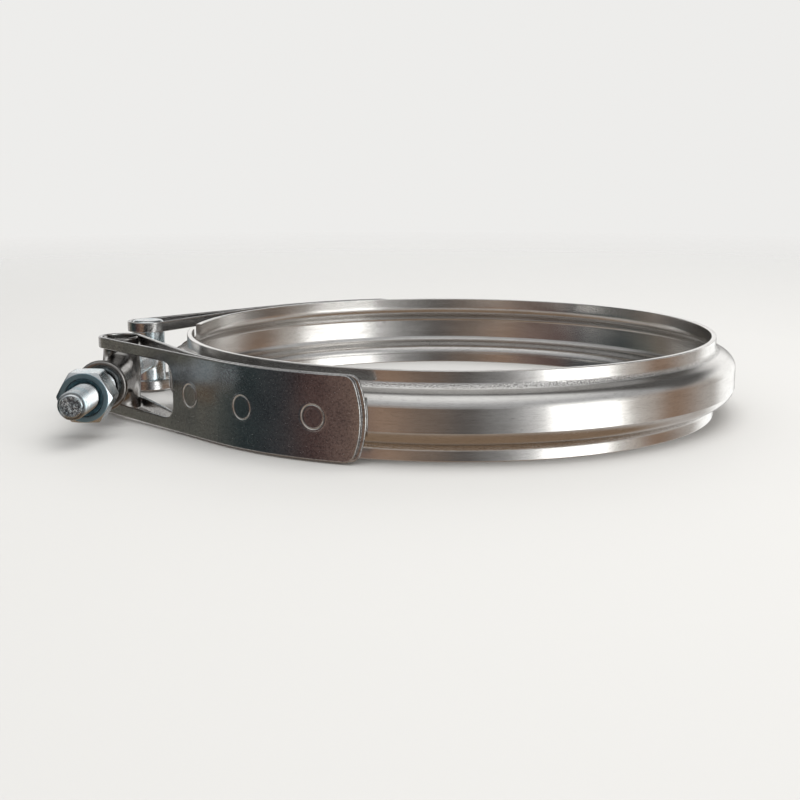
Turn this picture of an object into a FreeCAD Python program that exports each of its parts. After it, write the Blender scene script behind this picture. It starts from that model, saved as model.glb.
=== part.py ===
import FreeCAD, Part
import math
import os
import PartDesign
import Sketcher
from FreeCAD import Placement, Rotation, Vector

# V-band T-bolt coupling clamp, in millimetres.
#
# The ring's axis is Z and its centre is the origin. The ring opens at -X, where two loop straps hold
# a trunnion (at -Y, the front) and a T-bolt (at +Y, the back). The bolt's axis runs along Y through
# both loops. The back half is drawn, and the front half of the ring and its strap mirror it.

# Driving dimensions: alias, value, meaning. Millimetres, and degrees where the name says angle.
SIZES = [
    ("crest_radius", 88.5, "outer radius of the ring's flat crest"),
    ("crest_half_width", 3.2, "half the axial width of the flat crest"),
    ("crest_rise", 6.0, "how far the crest stands out from the feet"),
    ("shoulder_radius", 4.0, "outer radius of the rolled shoulders"),
    ("foot_bend_radius", 2.0, "outer radius of the bend from leg to foot"),
    ("leg_angle", 20.0, "slope of the V's legs from the radial direction"),
    ("ring_half_width", 12.0, "half the axial width over both feet"),
    ("ring_sheet", 1.5, "sheet thickness of the ring"),
    ("mouth_half_gap", 5.5, "half the gap between the ring's ends"),
    ("hinge_half_gap", 0.25, "half the gap between the half rings where the ring flexes"),
    ("strap_sheet", 1.15, "sheet thickness of the folded straps"),
    ("layer_gap", 0.1, "gap between a strap's two layers"),
    ("strap_width", 22.8, "axial width of the straps"),
    ("strap_end_reach", 22.5, "distance of a strap's free end from the plane of the Y and Z axes"),
    ("strap_end_radius", 27.0, "radius of the bowed free end"),
    ("strap_corner_radius", 3.0, "corner radius of the free end"),
    ("window_width", 16.2, "axial width of the window for the bolt"),
    ("window_corner_radius", 4.5, "corner radius of the window"),
    ("window_start", 20.2, "straight length from the ring to the window"),
    ("loop_reach", 101.0, "distance of the loops' axes from the ring's axis, along X"),
    ("loop_spread", 18.1, "distance of a loop's axis from the X axis"),
    ("loop_bore_radius", 5.5, "inner radius of the loops"),
    ("weld_pitch", 23.3, "distance between spot welds along a strap"),
    ("weld_start", 11.4, "straight length from the ring to the first spot weld"),
    ("weld_radius", 3.2, "radius of a spot weld's ring mark"),
    ("weld_groove", 0.25, "depth of a spot weld's ring mark"),
    ("barrel_radius", 5.3, "radius of the trunnion's barrel and of the T-head"),
    ("barrel_half_length", 11.2, "half the length of the trunnion's barrel"),
    ("trunnion_sheet", 1.2, "wall thickness of the trunnion"),
    ("neck_radius", 5.7, "outer radius of the trunnion's neck"),
    ("neck_bore_radius", 4.5, "bore radius of the trunnion's neck"),
    ("neck_flare_half", 7.9, "half the axial width of the neck where it leaves the barrel"),
    ("neck_flare_end", 11.5, "distance from the barrel's axis to the end of that flare"),
    ("collar_reach", 24.5, "distance from the barrel's axis to the collar's face"),
    ("collar_radius", 7.4, "outer radius of the collar"),
    ("collar_lip", 2.2, "axial thickness of the collar's lip"),
    ("collar_flare", 4.0, "axial length of the flare from neck to collar"),
    ("stud_radius", 4.0, "major radius of the M8 thread"),
    ("thread_pitch", 1.25, "thread pitch"),
    ("thread_depth", 0.65, "depth of a thread groove"),
    ("thread_count", 36.0, "number of thread grooves"),
    ("stud_end", 73.0, "distance of the bolt's end from the X axis"),
    ("stud_chamfer", 0.9, "chamfer at the bolt's end"),
    ("head_half_length", 11.7, "half the length of the T-head"),
    ("head_chamfer", 0.7, "chamfer at the T-head's ends"),
    ("nut_front", 60.6, "distance of the nut's outer face from the X axis"),
    ("nut_height", 8.0, "height of the nut"),
    ("nut_flat_half", 7.0, "half the nut's width across flats"),
    ("nut_face_radius", 6.75, "radius of the nut's faces inside the corner chamfers"),
    ("nut_bore_radius", 4.05, "bore radius of the nut and of its locking insert"),
    ("nut_recess_radius", 5.4, "radius of the recess for the locking insert"),
    ("nut_recess_depth", 2.6, "depth of the recess for the locking insert"),
    ("insert_height", 2.0, "height of the locking insert"),
]

SIZE = {alias: value for alias, value, meaning in SIZES}

doc = FreeCAD.newDocument("v_band_clamp")


def make_sheet():
    """Keeps the driving dimensions in a spreadsheet, one alias a row."""
    sheet = doc.addObject("Spreadsheet::Sheet", "sizes")
    for row, (alias, value, meaning) in enumerate(SIZES, start=1):
        sheet.set(f"A{row}", meaning)
        sheet.set(f"B{row}", str(value))
        sheet.setAlias(f"B{row}", alias)
    doc.recompute()


# Helpers -------------------------------------------------------------------------------------


def polar(radius, angle, centre=Vector(0, 0, 0)):
    """Returns the point at this radius and angle (degrees from +X) about a centre in the XY plane."""
    radians = math.radians(angle)
    return centre + Vector(radius * math.cos(radians), radius * math.sin(radians), 0)


def new_body(name):
    """Starts a sub-part: a PartDesign body whose label names its file."""
    body = doc.addObject("PartDesign::Body", name)
    body.Label = name
    return body


def origin_feature(body, role):
    """Returns one of a body's own origin planes or axes."""
    return next(item for item in body.Origin.OriginFeatures if item.Role == role)


def new_sketch(body, name, role, offset=None):
    """Starts a sketch on one of the body's origin planes."""
    sketch = body.newObject("Sketcher::SketchObject", name)
    sketch.AttachmentSupport = [(origin_feature(body, role), "")]
    sketch.MapMode = "FlatFace"
    if offset is not None:
        sketch.AttachmentOffset = offset
    return sketch


def line(sketch, start, end):
    """Adds a line and returns its index."""
    return sketch.addGeometry(Part.LineSegment(start, end), False)


def arc(sketch, centre, radius, first, last):
    """Adds an anticlockwise arc between two angles in degrees and returns its index."""
    circle = Part.Circle(centre, Vector(0, 0, 1), radius)
    return sketch.addGeometry(Part.ArcOfCircle(circle, math.radians(first), math.radians(last)), False)


def join(sketch, chain, closed=True):
    """Makes consecutive elements meet. The chain lists (index, first point, last point)."""
    followers = chain[1:] + chain[:1] if closed else chain[1:]
    for (one, _, last), (other, first, _) in zip(chain, followers):
        sketch.addConstraint(Sketcher.Constraint("Coincident", one, last, other, first))


def bind(sketch, constraint, expression):
    """Adds a dimension to a sketch and drives it from the spreadsheet."""
    index = sketch.addConstraint(constraint)
    sketch.setExpression(f"Constraints[{index}]", expression)


def circle_sketch(body, name, role, centre, radius_expression, radius, offset=None):
    """Draws one driven circle."""
    sketch = new_sketch(body, name, role, offset)
    disc = sketch.addGeometry(Part.Circle(centre, Vector(0, 0, 1), radius), False)
    bind(sketch, Sketcher.Constraint("Radius", disc, radius), radius_expression)
    bind(sketch, Sketcher.Constraint("DistanceX", disc, 3, -1, 1, -centre.x), "sizes.loop_reach")
    if abs(centre.y) > 0:
        distance = Sketcher.Constraint("DistanceY", -1, 1, disc, 3, centre.y)
        bind(sketch, distance, f"{math.copysign(1, centre.y):.0f} * sizes.loop_spread")
    else:
        sketch.addConstraint(Sketcher.Constraint("PointOnObject", disc, 3, -1))
    return sketch


def polygon_sketch(body, name, role, points, offset=None):
    """Draws a closed outline of straight lines."""
    sketch = new_sketch(body, name, role, offset)
    sides = [line(sketch, one, other) for one, other in zip(points, points[1:] + points[:1])]
    join(sketch, [(side, 1, 2) for side in sides])
    return sketch


def bolt_axis(sketch):
    """Adds the bolt's axis to a sketch in the XY plane as a construction line, and returns its link."""
    start = Vector(-SIZE["loop_reach"], 0, 0)
    sketch.addGeometry(Part.LineSegment(start, start + Vector(0, 10, 0)), True)
    return (sketch, ["Axis0"])


def pad(body, name, sketch, length, side="Symmetric", second=None, reverse=False):
    """Pads a sketch by an expression, to one side, both sides or symmetrically."""
    feature = body.newObject("PartDesign::Pad", name)
    feature.Profile = sketch
    feature.SideType = side
    feature.Reversed = reverse
    feature.setExpression("Length", length)
    if second is not None:
        feature.setExpression("Length2", second)
    doc.recompute()
    return feature


def cut(body, name, sketch, length=None, reverse=False, side="One side"):
    """Pockets a sketch, through everything when no length is given, and checks that it cut."""
    before = body.Shape.Volume
    feature = body.newObject("PartDesign::Pocket", name)
    feature.Profile = sketch
    feature.SideType = side
    feature.Reversed = reverse
    if length is None:
        feature.Type = "ThroughAll"
    else:
        feature.setExpression("Length", length)
    doc.recompute()
    check_cut(body, name, before)
    return feature


def turn(body, kind, name, sketch, axis):
    """Revolves or grooves a sketch by a full turn about an axis."""
    feature = body.newObject(f"PartDesign::{kind}", name)
    feature.Profile = sketch
    feature.ReferenceAxis = axis
    feature.Angle = 360
    doc.recompute()
    return feature


def check_cut(body, name, before):
    """Stops the build when a cut removed nothing."""
    if not body.Shape.Volume < before - 1e-6:
        raise RuntimeError(f"{name} removed nothing")


def round_edges(body, kind, name, size, wanted):
    """Fillets or chamfers the edges of the tip that a test picks out."""
    tip = body.Tip
    edges = [f"Edge{number}" for number, edge in enumerate(tip.Shape.Edges, start=1) if wanted(edge)]
    feature = body.newObject(f"PartDesign::{kind}", name)
    feature.Base = (tip, edges)
    feature.setExpression("Radius" if kind == "Fillet" else "Size", size)
    doc.recompute()
    return feature


def circle_edge(edge, radius, where=None):
    """Tells whether an edge is a circle of this radius, and near this value along an axis."""
    if not isinstance(edge.Curve, Part.Circle) or abs(edge.Curve.Radius - radius) > 1e-4:
        return False
    return where is None or all(abs(getattr(edge.Curve.Center, axis) - value) < 1e-3
                                for axis, value in where.items())


# The V-section ring --------------------------------------------------------------------------


def ring_profile(body):
    """Draws half a turn's section of the ring: crest, shoulders, legs and feet, one sheet thick."""
    slope = SIZE["leg_angle"]
    sheet = SIZE["ring_sheet"]
    shoulder = SIZE["shoulder_radius"]
    bend = SIZE["foot_bend_radius"]
    sine = math.sin(math.radians(slope))
    cosine = math.cos(math.radians(slope))
    leg = (SIZE["crest_rise"] - (shoulder + bend) * (1 - sine)) / cosine
    sketch = new_sketch(body, "ring_profile", "XZ_Plane")

    def half(sign):
        """Draws the part of the section above (+1) or below (-1) the crest's middle."""
        shoulder_centre = Vector(SIZE["crest_radius"] - shoulder, sign * SIZE["crest_half_width"], 0)
        leg_start = shoulder_centre + Vector(shoulder * sine, sign * shoulder * cosine, 0)
        leg_end = leg_start + Vector(-leg * cosine, sign * leg * sine, 0)
        bend_centre = leg_end + Vector(bend * sine, sign * bend * cosine, 0)
        foot_radius = bend_centre.x - bend
        foot_edge = sign * SIZE["ring_half_width"]
        inward = Vector(-sheet * sine, -sign * sheet * cosine, 0)
        turned = 90 - slope
        rounding = (0, turned) if sign > 0 else (-turned, 0)
        hollow = (180, 180 + turned) if sign > 0 else (180 - turned, 180)
        outer_shoulder = arc(sketch, shoulder_centre, shoulder, *rounding)
        outer_leg = line(sketch, leg_start, leg_end)
        outer_bend = arc(sketch, bend_centre, bend, *hollow)
        outer_foot = line(sketch, Vector(foot_radius, bend_centre.y, 0), Vector(foot_radius, foot_edge, 0))
        edge = line(sketch, Vector(foot_radius, foot_edge, 0), Vector(foot_radius - sheet, foot_edge, 0))
        inner_foot = line(sketch, Vector(foot_radius - sheet, foot_edge, 0),
                          Vector(foot_radius - sheet, bend_centre.y, 0))
        inner_bend = arc(sketch, bend_centre, bend + sheet, *hollow)
        inner_leg = line(sketch, leg_end + inward, leg_start + inward)
        inner_shoulder = arc(sketch, shoulder_centre, shoulder - sheet, *rounding)
        start, end = (1, 2) if sign > 0 else (2, 1)
        chain = [(outer_shoulder, start, end), (outer_leg, 1, 2), (outer_bend, end, start),
                 (outer_foot, 1, 2), (edge, 1, 2), (inner_foot, 1, 2), (inner_bend, start, end),
                 (inner_leg, 1, 2), (inner_shoulder, end, start)]
        join(sketch, chain, closed=False)
        bind(sketch, Sketcher.Constraint("Radius", outer_shoulder, shoulder), "sizes.shoulder_radius")
        bind(sketch, Sketcher.Constraint("Radius", outer_bend, bend), "sizes.foot_bend_radius")
        bind(sketch, Sketcher.Constraint("Distance", edge, sheet), "sizes.ring_sheet")
        return chain

    upper = half(1)
    lower = half(-1)
    crest = Vector(SIZE["crest_radius"], SIZE["crest_half_width"], 0)
    inner = crest - Vector(sheet, 0, 0)
    outer_crest = line(sketch, Vector(crest.x, -crest.y, 0), crest)
    inner_crest = line(sketch, inner, Vector(inner.x, -inner.y, 0))
    join(sketch, [lower[0][:1] + (2, lower[0][1]), (outer_crest, 1, 2), (upper[0][0], upper[0][1], 2)],
         closed=False)
    join(sketch, [(upper[-1][0], 1, upper[-1][2]), (inner_crest, 1, 2), (lower[-1][0], lower[-1][2], 1)],
         closed=False)
    reach = Sketcher.Constraint("DistanceX", -1, 1, outer_crest, 2, crest.x)
    bind(sketch, reach, "sizes.crest_radius")
    return sketch


def v_retainer():
    """Rolls the back half of the ring, from the flex line at +X to the mouth at -X."""
    body = new_body("v_retainer_back")
    sketch = ring_profile(body)
    ring = body.newObject("PartDesign::Revolution", "rolled_ring")
    ring.Profile = sketch
    ring.ReferenceAxis = (sketch, ["V_Axis"])
    ring.setExpression("Angle", "180 deg - asin(sizes.mouth_half_gap / sizes.crest_radius)"
                                " - asin(sizes.hinge_half_gap / sizes.crest_radius)")
    doc.recompute()
    if ring.Shape.BoundBox.YMax < 1:
        ring.Reversed = True
    skew = math.degrees(math.asin(SIZE["hinge_half_gap"] / SIZE["crest_radius"]))
    body.Placement = Placement(Vector(0, 0, 0), Rotation(Vector(0, 0, 1), skew))
    doc.recompute()
    return body


# The loop straps -----------------------------------------------------------------------------

LOOP_CENTRE = Vector(-SIZE["loop_reach"], SIZE["loop_spread"], 0)
LOOP_OUTER = SIZE["loop_bore_radius"] + SIZE["strap_sheet"]
INNER_LAYER = SIZE["crest_radius"] + SIZE["strap_sheet"]
OUTER_LAYER = INNER_LAYER + SIZE["layer_gap"]
STRAP_FACE = OUTER_LAYER + SIZE["strap_sheet"]


def tangent_angle(reach):
    """Angle at which a line at this distance from the ring's axis passes the loop's axis so."""
    loop_angle = math.degrees(math.atan2(LOOP_CENTRE.y, LOOP_CENTRE.x))
    return loop_angle - math.degrees(math.acos(reach / LOOP_CENTRE.Length))


OUTER_TURN = tangent_angle(STRAP_FACE - LOOP_OUTER)
INNER_TURN = tangent_angle(SIZE["crest_radius"] + LOOP_OUTER)
END_TURN = 90 + math.degrees(math.asin((SIZE["strap_end_reach"] - 1) / STRAP_FACE))


def strap_outline(body):
    """Draws the folded strip edge on: along the ring, out to the loop, round it and back."""
    sketch = new_sketch(body, "strap_outline", "XY_Plane")
    ring = Vector(0, 0, 0)
    loop = LOOP_CENTRE
    bore = SIZE["loop_bore_radius"]
    back_turn = INNER_TURN + 180
    face = arc(sketch, ring, STRAP_FACE, END_TURN, OUTER_TURN)
    face_run = line(sketch, polar(STRAP_FACE, OUTER_TURN), polar(LOOP_OUTER, OUTER_TURN, loop))
    loop_face = arc(sketch, loop, LOOP_OUTER, OUTER_TURN, back_turn)
    seat_run = line(sketch, polar(LOOP_OUTER, back_turn, loop), polar(SIZE["crest_radius"], INNER_TURN))
    seat = arc(sketch, ring, SIZE["crest_radius"], END_TURN, INNER_TURN)
    seat_end = line(sketch, polar(SIZE["crest_radius"], END_TURN), polar(INNER_LAYER, END_TURN))
    inner = arc(sketch, ring, INNER_LAYER, END_TURN, INNER_TURN)
    inner_run = line(sketch, polar(INNER_LAYER, INNER_TURN), polar(bore, back_turn, loop))
    loop_bore = arc(sketch, loop, bore, OUTER_TURN, back_turn)
    outer_run = line(sketch, polar(bore, OUTER_TURN, loop), polar(OUTER_LAYER, OUTER_TURN))
    outer = arc(sketch, ring, OUTER_LAYER, END_TURN, OUTER_TURN)
    face_end = line(sketch, polar(OUTER_LAYER, END_TURN), polar(STRAP_FACE, END_TURN))
    join(sketch, [(face, 1, 2), (face_run, 1, 2), (loop_face, 1, 2), (seat_run, 1, 2), (seat, 2, 1),
                  (seat_end, 1, 2), (inner, 1, 2), (inner_run, 1, 2), (loop_bore, 2, 1),
                  (outer_run, 1, 2), (outer, 2, 1), (face_end, 1, 2)])
    for bend in (face, seat, inner, outer):
        sketch.addConstraint(Sketcher.Constraint("Coincident", bend, 3, -1, 1))
    sketch.addConstraint(Sketcher.Constraint("Coincident", loop_face, 3, loop_bore, 3))
    layers = [(seat, SIZE["crest_radius"], "sizes.crest_radius"),
              (inner, INNER_LAYER, "sizes.crest_radius + sizes.strap_sheet"),
              (outer, OUTER_LAYER, "sizes.crest_radius + sizes.strap_sheet + sizes.layer_gap"),
              (face, STRAP_FACE, "sizes.crest_radius + 2 * sizes.strap_sheet + sizes.layer_gap"),
              (loop_bore, bore, "sizes.loop_bore_radius"),
              (loop_face, LOOP_OUTER, "sizes.loop_bore_radius + sizes.strap_sheet")]
    for bend, radius, expression in layers:
        bind(sketch, Sketcher.Constraint("Radius", bend, radius), expression)
    bind(sketch, Sketcher.Constraint("DistanceX", loop_bore, 3, -1, 1, -loop.x), "sizes.loop_reach")
    bind(sketch, Sketcher.Constraint("DistanceY", -1, 1, loop_bore, 3, loop.y), "sizes.loop_spread")
    return sketch


def window_outline(body):
    """Draws the bolt's window on the plane that faces the strap's straight run."""
    tilt = Placement(Vector(0, 0, 0), Rotation(Vector(0, 1, 0), OUTER_TURN - 90))
    sketch = new_sketch(body, "window_outline", "XZ_Plane", tilt)
    half = SIZE["window_width"] / 2
    corner = SIZE["window_corner_radius"]
    near = -SIZE["window_start"]
    far = near - 60
    top = line(sketch, Vector(far, half, 0), Vector(near - corner, half, 0))
    top_corner = arc(sketch, Vector(near - corner, half - corner, 0), corner, 0, 90)
    side = line(sketch, Vector(near, half - corner, 0), Vector(near, corner - half, 0))
    low_corner = arc(sketch, Vector(near - corner, corner - half, 0), corner, -90, 0)
    low = line(sketch, Vector(near - corner, -half, 0), Vector(far, -half, 0))
    closing = line(sketch, Vector(far, -half, 0), Vector(far, half, 0))
    join(sketch, [(top, 1, 2), (top_corner, 2, 1), (side, 1, 2), (low_corner, 2, 1), (low, 1, 2),
                  (closing, 1, 2)])
    for run in (top, low):
        sketch.addConstraint(Sketcher.Constraint("Horizontal", run))
    bind(sketch, Sketcher.Constraint("DistanceY", closing, 1, closing, 2, 2 * half), "sizes.window_width")
    bind(sketch, Sketcher.Constraint("DistanceX", side, 1, -1, 1, -near), "sizes.window_start")
    return sketch


def end_outline(body):
    """Draws what is trimmed off the strap's free end, seen along Y, to leave a bowed tongue."""
    sketch = new_sketch(body, "end_outline", "XZ_Plane")
    half = SIZE["strap_width"] / 2
    bow = SIZE["strap_end_radius"]
    corner = SIZE["strap_corner_radius"]
    tip = -SIZE["strap_end_reach"]
    beyond = tip + 15
    above = half + 2
    bow_centre = Vector(tip - bow, 0, 0)
    corner_height = half - corner
    corner_x = bow_centre.x + math.sqrt((bow - corner) ** 2 - corner_height ** 2)
    lean = math.degrees(math.asin(corner_height / (bow - corner)))
    top = line(sketch, Vector(beyond, above, 0), Vector(corner_x, above, 0))
    drop = line(sketch, Vector(corner_x, above, 0), Vector(corner_x, half, 0))
    top_corner = arc(sketch, Vector(corner_x, corner_height, 0), corner, lean, 90)
    bowed = arc(sketch, bow_centre, bow, -lean, lean)
    low_corner = arc(sketch, Vector(corner_x, -corner_height, 0), corner, -90, -lean)
    rise = line(sketch, Vector(corner_x, -half, 0), Vector(corner_x, -above, 0))
    low = line(sketch, Vector(corner_x, -above, 0), Vector(beyond, -above, 0))
    closing = line(sketch, Vector(beyond, -above, 0), Vector(beyond, above, 0))
    join(sketch, [(top, 1, 2), (drop, 1, 2), (top_corner, 2, 1), (bowed, 2, 1), (low_corner, 2, 1),
                  (rise, 1, 2), (low, 1, 2), (closing, 1, 2)])
    bind(sketch, Sketcher.Constraint("Radius", bowed, bow), "sizes.strap_end_radius")
    return sketch


def weld_spots():
    """Returns each spot weld's direction from the ring's axis and its distance along the straight."""
    spots = []
    for number in range(3):
        along = SIZE["weld_start"] - number * SIZE["weld_pitch"]
        if along > 0:
            spots.append((OUTER_TURN, along))
        else:
            spots.append((OUTER_TURN + math.degrees(along / STRAP_FACE), 0))
    return spots


def loop_strap():
    """Folds the back strap, cuts its window and end, and spot-welds its layers."""
    body = new_body("t_bolt_loop_strap")
    pad(body, "folded_strip", strap_outline(body), "sizes.strap_width")
    cut(body, "bolt_window", window_outline(body))
    cut(body, "bowed_end", end_outline(body))
    for number, (angle, along) in enumerate(weld_spots(), start=1):
        outward = polar(1, angle)
        spot = polar(along, angle + 90)
        facing = Rotation(Vector(0, 0, 1), outward)
        nugget = body.newObject("PartDesign::AdditiveCylinder", f"weld_nugget_{number}")
        nugget.Placement = Placement(spot + outward * (SIZE["crest_radius"] + 0.3), facing)
        nugget.Height = OUTER_LAYER - SIZE["crest_radius"]
        nugget.setExpression("Radius", "sizes.weld_radius - 2 * sizes.weld_groove")
        doc.recompute()
        before = body.Shape.Volume
        mark = body.newObject("PartDesign::SubtractiveTorus", f"weld_mark_{number}")
        mark.Placement = Placement(spot + outward * (STRAP_FACE + 0.05), facing)
        mark.setExpression("Radius1", "sizes.weld_radius")
        mark.setExpression("Radius2", "sizes.weld_groove")
        doc.recompute()
        check_cut(body, mark.Name, before)
    return body


def mirrored(source, name):
    """Mirrors a back piece to the front."""
    piece = doc.addObject("Part::Mirroring", name)
    piece.Label = name
    piece.Source = source
    piece.Normal = Vector(0, 1, 0)
    return piece


# Trunnion, T-bolt and nut --------------------------------------------------------------------


def front_plane(distance):
    """Offset of a sketch plane that faces -Y, this far in front of the XZ plane."""
    return Placement(Vector(0, 0, distance), Rotation())


def collar_profile(body):
    """Draws the neck and its rolled collar as a section beside the bolt's axis."""
    sketch = new_sketch(body, "collar_profile", "XY_Plane")
    axis = -SIZE["loop_reach"]
    face = -SIZE["loop_spread"] - SIZE["collar_reach"]
    neck = axis + SIZE["neck_radius"]
    rim = axis + SIZE["collar_radius"]
    lip = SIZE["collar_lip"] / 2
    lip_centre = Vector(rim - lip, face + lip, 0)
    flare_end = face + SIZE["collar_lip"] + SIZE["collar_flare"]
    root = -SIZE["loop_spread"] - SIZE["trunnion_sheet"]
    mouth = line(sketch, Vector(axis, face, 0), Vector(lip_centre.x, face, 0))
    rolled = arc(sketch, lip_centre, lip, -90, 90)
    flare = line(sketch, Vector(lip_centre.x, face + 2 * lip, 0), Vector(neck, flare_end, 0))
    wall = line(sketch, Vector(neck, flare_end, 0), Vector(neck, root, 0))
    foot = line(sketch, Vector(neck, root, 0), Vector(axis, root, 0))
    core = line(sketch, Vector(axis, root, 0), Vector(axis, face, 0))
    join(sketch, [(mouth, 1, 2), (rolled, 1, 2), (flare, 1, 2), (wall, 1, 2), (foot, 1, 2), (core, 1, 2)])
    bind(sketch, Sketcher.Constraint("Radius", rolled, lip), "sizes.collar_lip / 2")
    return sketch


def trunnion():
    """Forms the trunnion: a slotted barrel, a flared neck and a rolled collar, bored for the bolt."""
    body = new_body("trunnion")
    centre = Vector(-SIZE["loop_reach"], -SIZE["loop_spread"], 0)
    axis_point = Vector(centre.x, 0, 0)
    barrel = circle_sketch(body, "barrel_circle", "XY_Plane", centre, "sizes.barrel_radius",
                           SIZE["barrel_radius"])
    pad(body, "barrel", barrel, "2 * sizes.barrel_half_length")
    profile = collar_profile(body)
    turn(body, "Revolution", "neck_and_collar", profile, bolt_axis(profile))
    root = SIZE["loop_spread"] + SIZE["trunnion_sheet"]
    wide = new_sketch(body, "flare_root", "XZ_Plane", front_plane(root))
    tall = Part.Ellipse(axis_point, SIZE["neck_flare_half"], SIZE["barrel_radius"] - 0.1)
    tall.rotate(Placement(axis_point, Rotation(Vector(0, 0, 1), 90), Vector(0, 0, 0)))
    wide.addGeometry(tall, False)
    tip_plane = front_plane(SIZE["loop_spread"] + SIZE["neck_flare_end"])
    narrow = circle_sketch(body, "flare_tip", "XZ_Plane", axis_point, "sizes.neck_radius - 0.05",
                           SIZE["neck_radius"] - 0.05, tip_plane)
    flare = body.newObject("PartDesign::AdditiveLoft", "neck_flare")
    flare.Profile = wide
    flare.Sections = [narrow]
    doc.recompute()
    hollow = circle_sketch(body, "barrel_hollow", "XY_Plane", centre,
                           "sizes.barrel_radius - sizes.trunnion_sheet",
                           SIZE["barrel_radius"] - SIZE["trunnion_sheet"])
    cut(body, "hollow_barrel", hollow, "3 * sizes.barrel_half_length", side="Symmetric")
    bore = circle_sketch(body, "bore_circle", "XZ_Plane", axis_point, "sizes.neck_bore_radius",
                         SIZE["neck_bore_radius"], front_plane(SIZE["stud_end"]))
    cut(body, "bolt_bore", bore, "sizes.stud_end - sizes.loop_spread")
    slot_half = SIZE["neck_bore_radius"]
    slot_top = SIZE["barrel_half_length"] + 1
    signs = [(-1, -1), (1, -1), (1, 1), (-1, 1)]
    slot = polygon_sketch(body, "slot_outline", "XZ_Plane",
                          [axis_point + Vector(x * slot_half, z * slot_top, 0) for x, z in signs],
                          front_plane(SIZE["loop_spread"]))
    cut(body, "back_slot", slot, "2 * sizes.barrel_radius")
    mouth = -SIZE["loop_spread"] - SIZE["collar_reach"]
    round_edges(body, "Fillet", "mouth_rounding", "sizes.trunnion_sheet / 2",
                lambda edge: circle_edge(edge, SIZE["neck_bore_radius"], {"y": mouth}))
    return body


def t_bolt():
    """Makes the T-bolt: a chamfered cross-bar, an M8 shank and its thread as V grooves."""
    body = new_body("t_bolt")
    centre = LOOP_CENTRE
    axis_point = Vector(centre.x, 0, 0)
    bar = circle_sketch(body, "head_circle", "XY_Plane", centre, "sizes.barrel_radius",
                        SIZE["barrel_radius"])
    pad(body, "t_head", bar, "2 * sizes.head_half_length")
    round_edges(body, "Chamfer", "head_chamfers", "sizes.head_chamfer",
                lambda edge: circle_edge(edge, SIZE["barrel_radius"]))
    rod = circle_sketch(body, "shank_circle", "XZ_Plane", axis_point, "sizes.stud_radius",
                        SIZE["stud_radius"])
    pad(body, "shank", rod, "sizes.stud_end", side="Two sides", second="sizes.loop_spread")
    round_edges(body, "Chamfer", "stud_chamfer", "sizes.stud_chamfer",
                lambda edge: circle_edge(edge, SIZE["stud_radius"], {"y": -SIZE["stud_end"]}))
    crest = centre.x + SIZE["stud_radius"]
    start = -SIZE["stud_end"] + SIZE["stud_chamfer"] + SIZE["thread_pitch"] / 2
    half_groove = SIZE["thread_depth"] * math.tan(math.radians(30)) + 0.1
    tooth = [Vector(crest + 0.2, start - half_groove, 0), Vector(crest + 0.2, start + half_groove, 0),
             Vector(crest - SIZE["thread_depth"], start, 0)]
    sketch = polygon_sketch(body, "thread_tooth", "XY_Plane", tooth)
    before = body.Shape.Volume
    groove = turn(body, "Groove", "thread_groove", sketch, bolt_axis(sketch))
    check_cut(body, "thread_groove", before)
    thread = body.newObject("PartDesign::LinearPattern", "thread")
    thread.Originals = [groove]
    thread.Direction = (origin_feature(body, "Y_Axis"), [""])
    thread.setExpression("Length", "sizes.thread_pitch * (sizes.thread_count - 1)")
    thread.setExpression("Occurrences", "sizes.thread_count")
    body.Tip = thread
    doc.recompute()
    return body


def corner_triangle(body, name, face, inward):
    """Draws the triangle that chamfers the nut's corners at one face, inward along Y."""
    axis = -SIZE["loop_reach"]
    outside = SIZE["nut_flat_half"] / math.cos(math.radians(30)) + 0.4
    drop = (outside - SIZE["nut_face_radius"]) * math.tan(math.radians(30))
    points = [Vector(axis + SIZE["nut_face_radius"], face, 0),
              Vector(axis + outside, face, 0),
              Vector(axis + outside, face + inward * drop, 0)]
    return polygon_sketch(body, name, "XY_Plane", points)


def lock_nut():
    """Makes the hexagon nut: chamfered corners, a bore and a recess for the locking insert."""
    body = new_body("lock_nut")
    axis_point = Vector(-SIZE["loop_reach"], 0, 0)
    corner = SIZE["nut_flat_half"] / math.cos(math.radians(30))
    outline = [polar(corner, 60 * number, axis_point) for number in range(6)]
    hexagon = polygon_sketch(body, "hexagon", "XZ_Plane", outline, front_plane(SIZE["nut_front"]))
    pad(body, "hexagon_block", hexagon, "sizes.nut_height", side="One side", reverse=True)
    faces = [("front_corners", -SIZE["nut_front"], 1),
             ("back_corners", SIZE["nut_height"] - SIZE["nut_front"], -1)]
    for name, face, inward in faces:
        sketch = corner_triangle(body, f"{name}_outline", face, inward)
        before = body.Shape.Volume
        turn(body, "Groove", name, sketch, bolt_axis(sketch))
        check_cut(body, name, before)
    front = front_plane(SIZE["nut_front"])
    bore = circle_sketch(body, "nut_bore_circle", "XZ_Plane", axis_point, "sizes.nut_bore_radius",
                         SIZE["nut_bore_radius"], front)
    cut(body, "nut_bore", bore, "sizes.nut_height")
    recess = circle_sketch(body, "recess_circle", "XZ_Plane", axis_point, "sizes.nut_recess_radius",
                           SIZE["nut_recess_radius"], front)
    cut(body, "insert_recess", recess, "sizes.nut_recess_depth")
    return body


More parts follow.
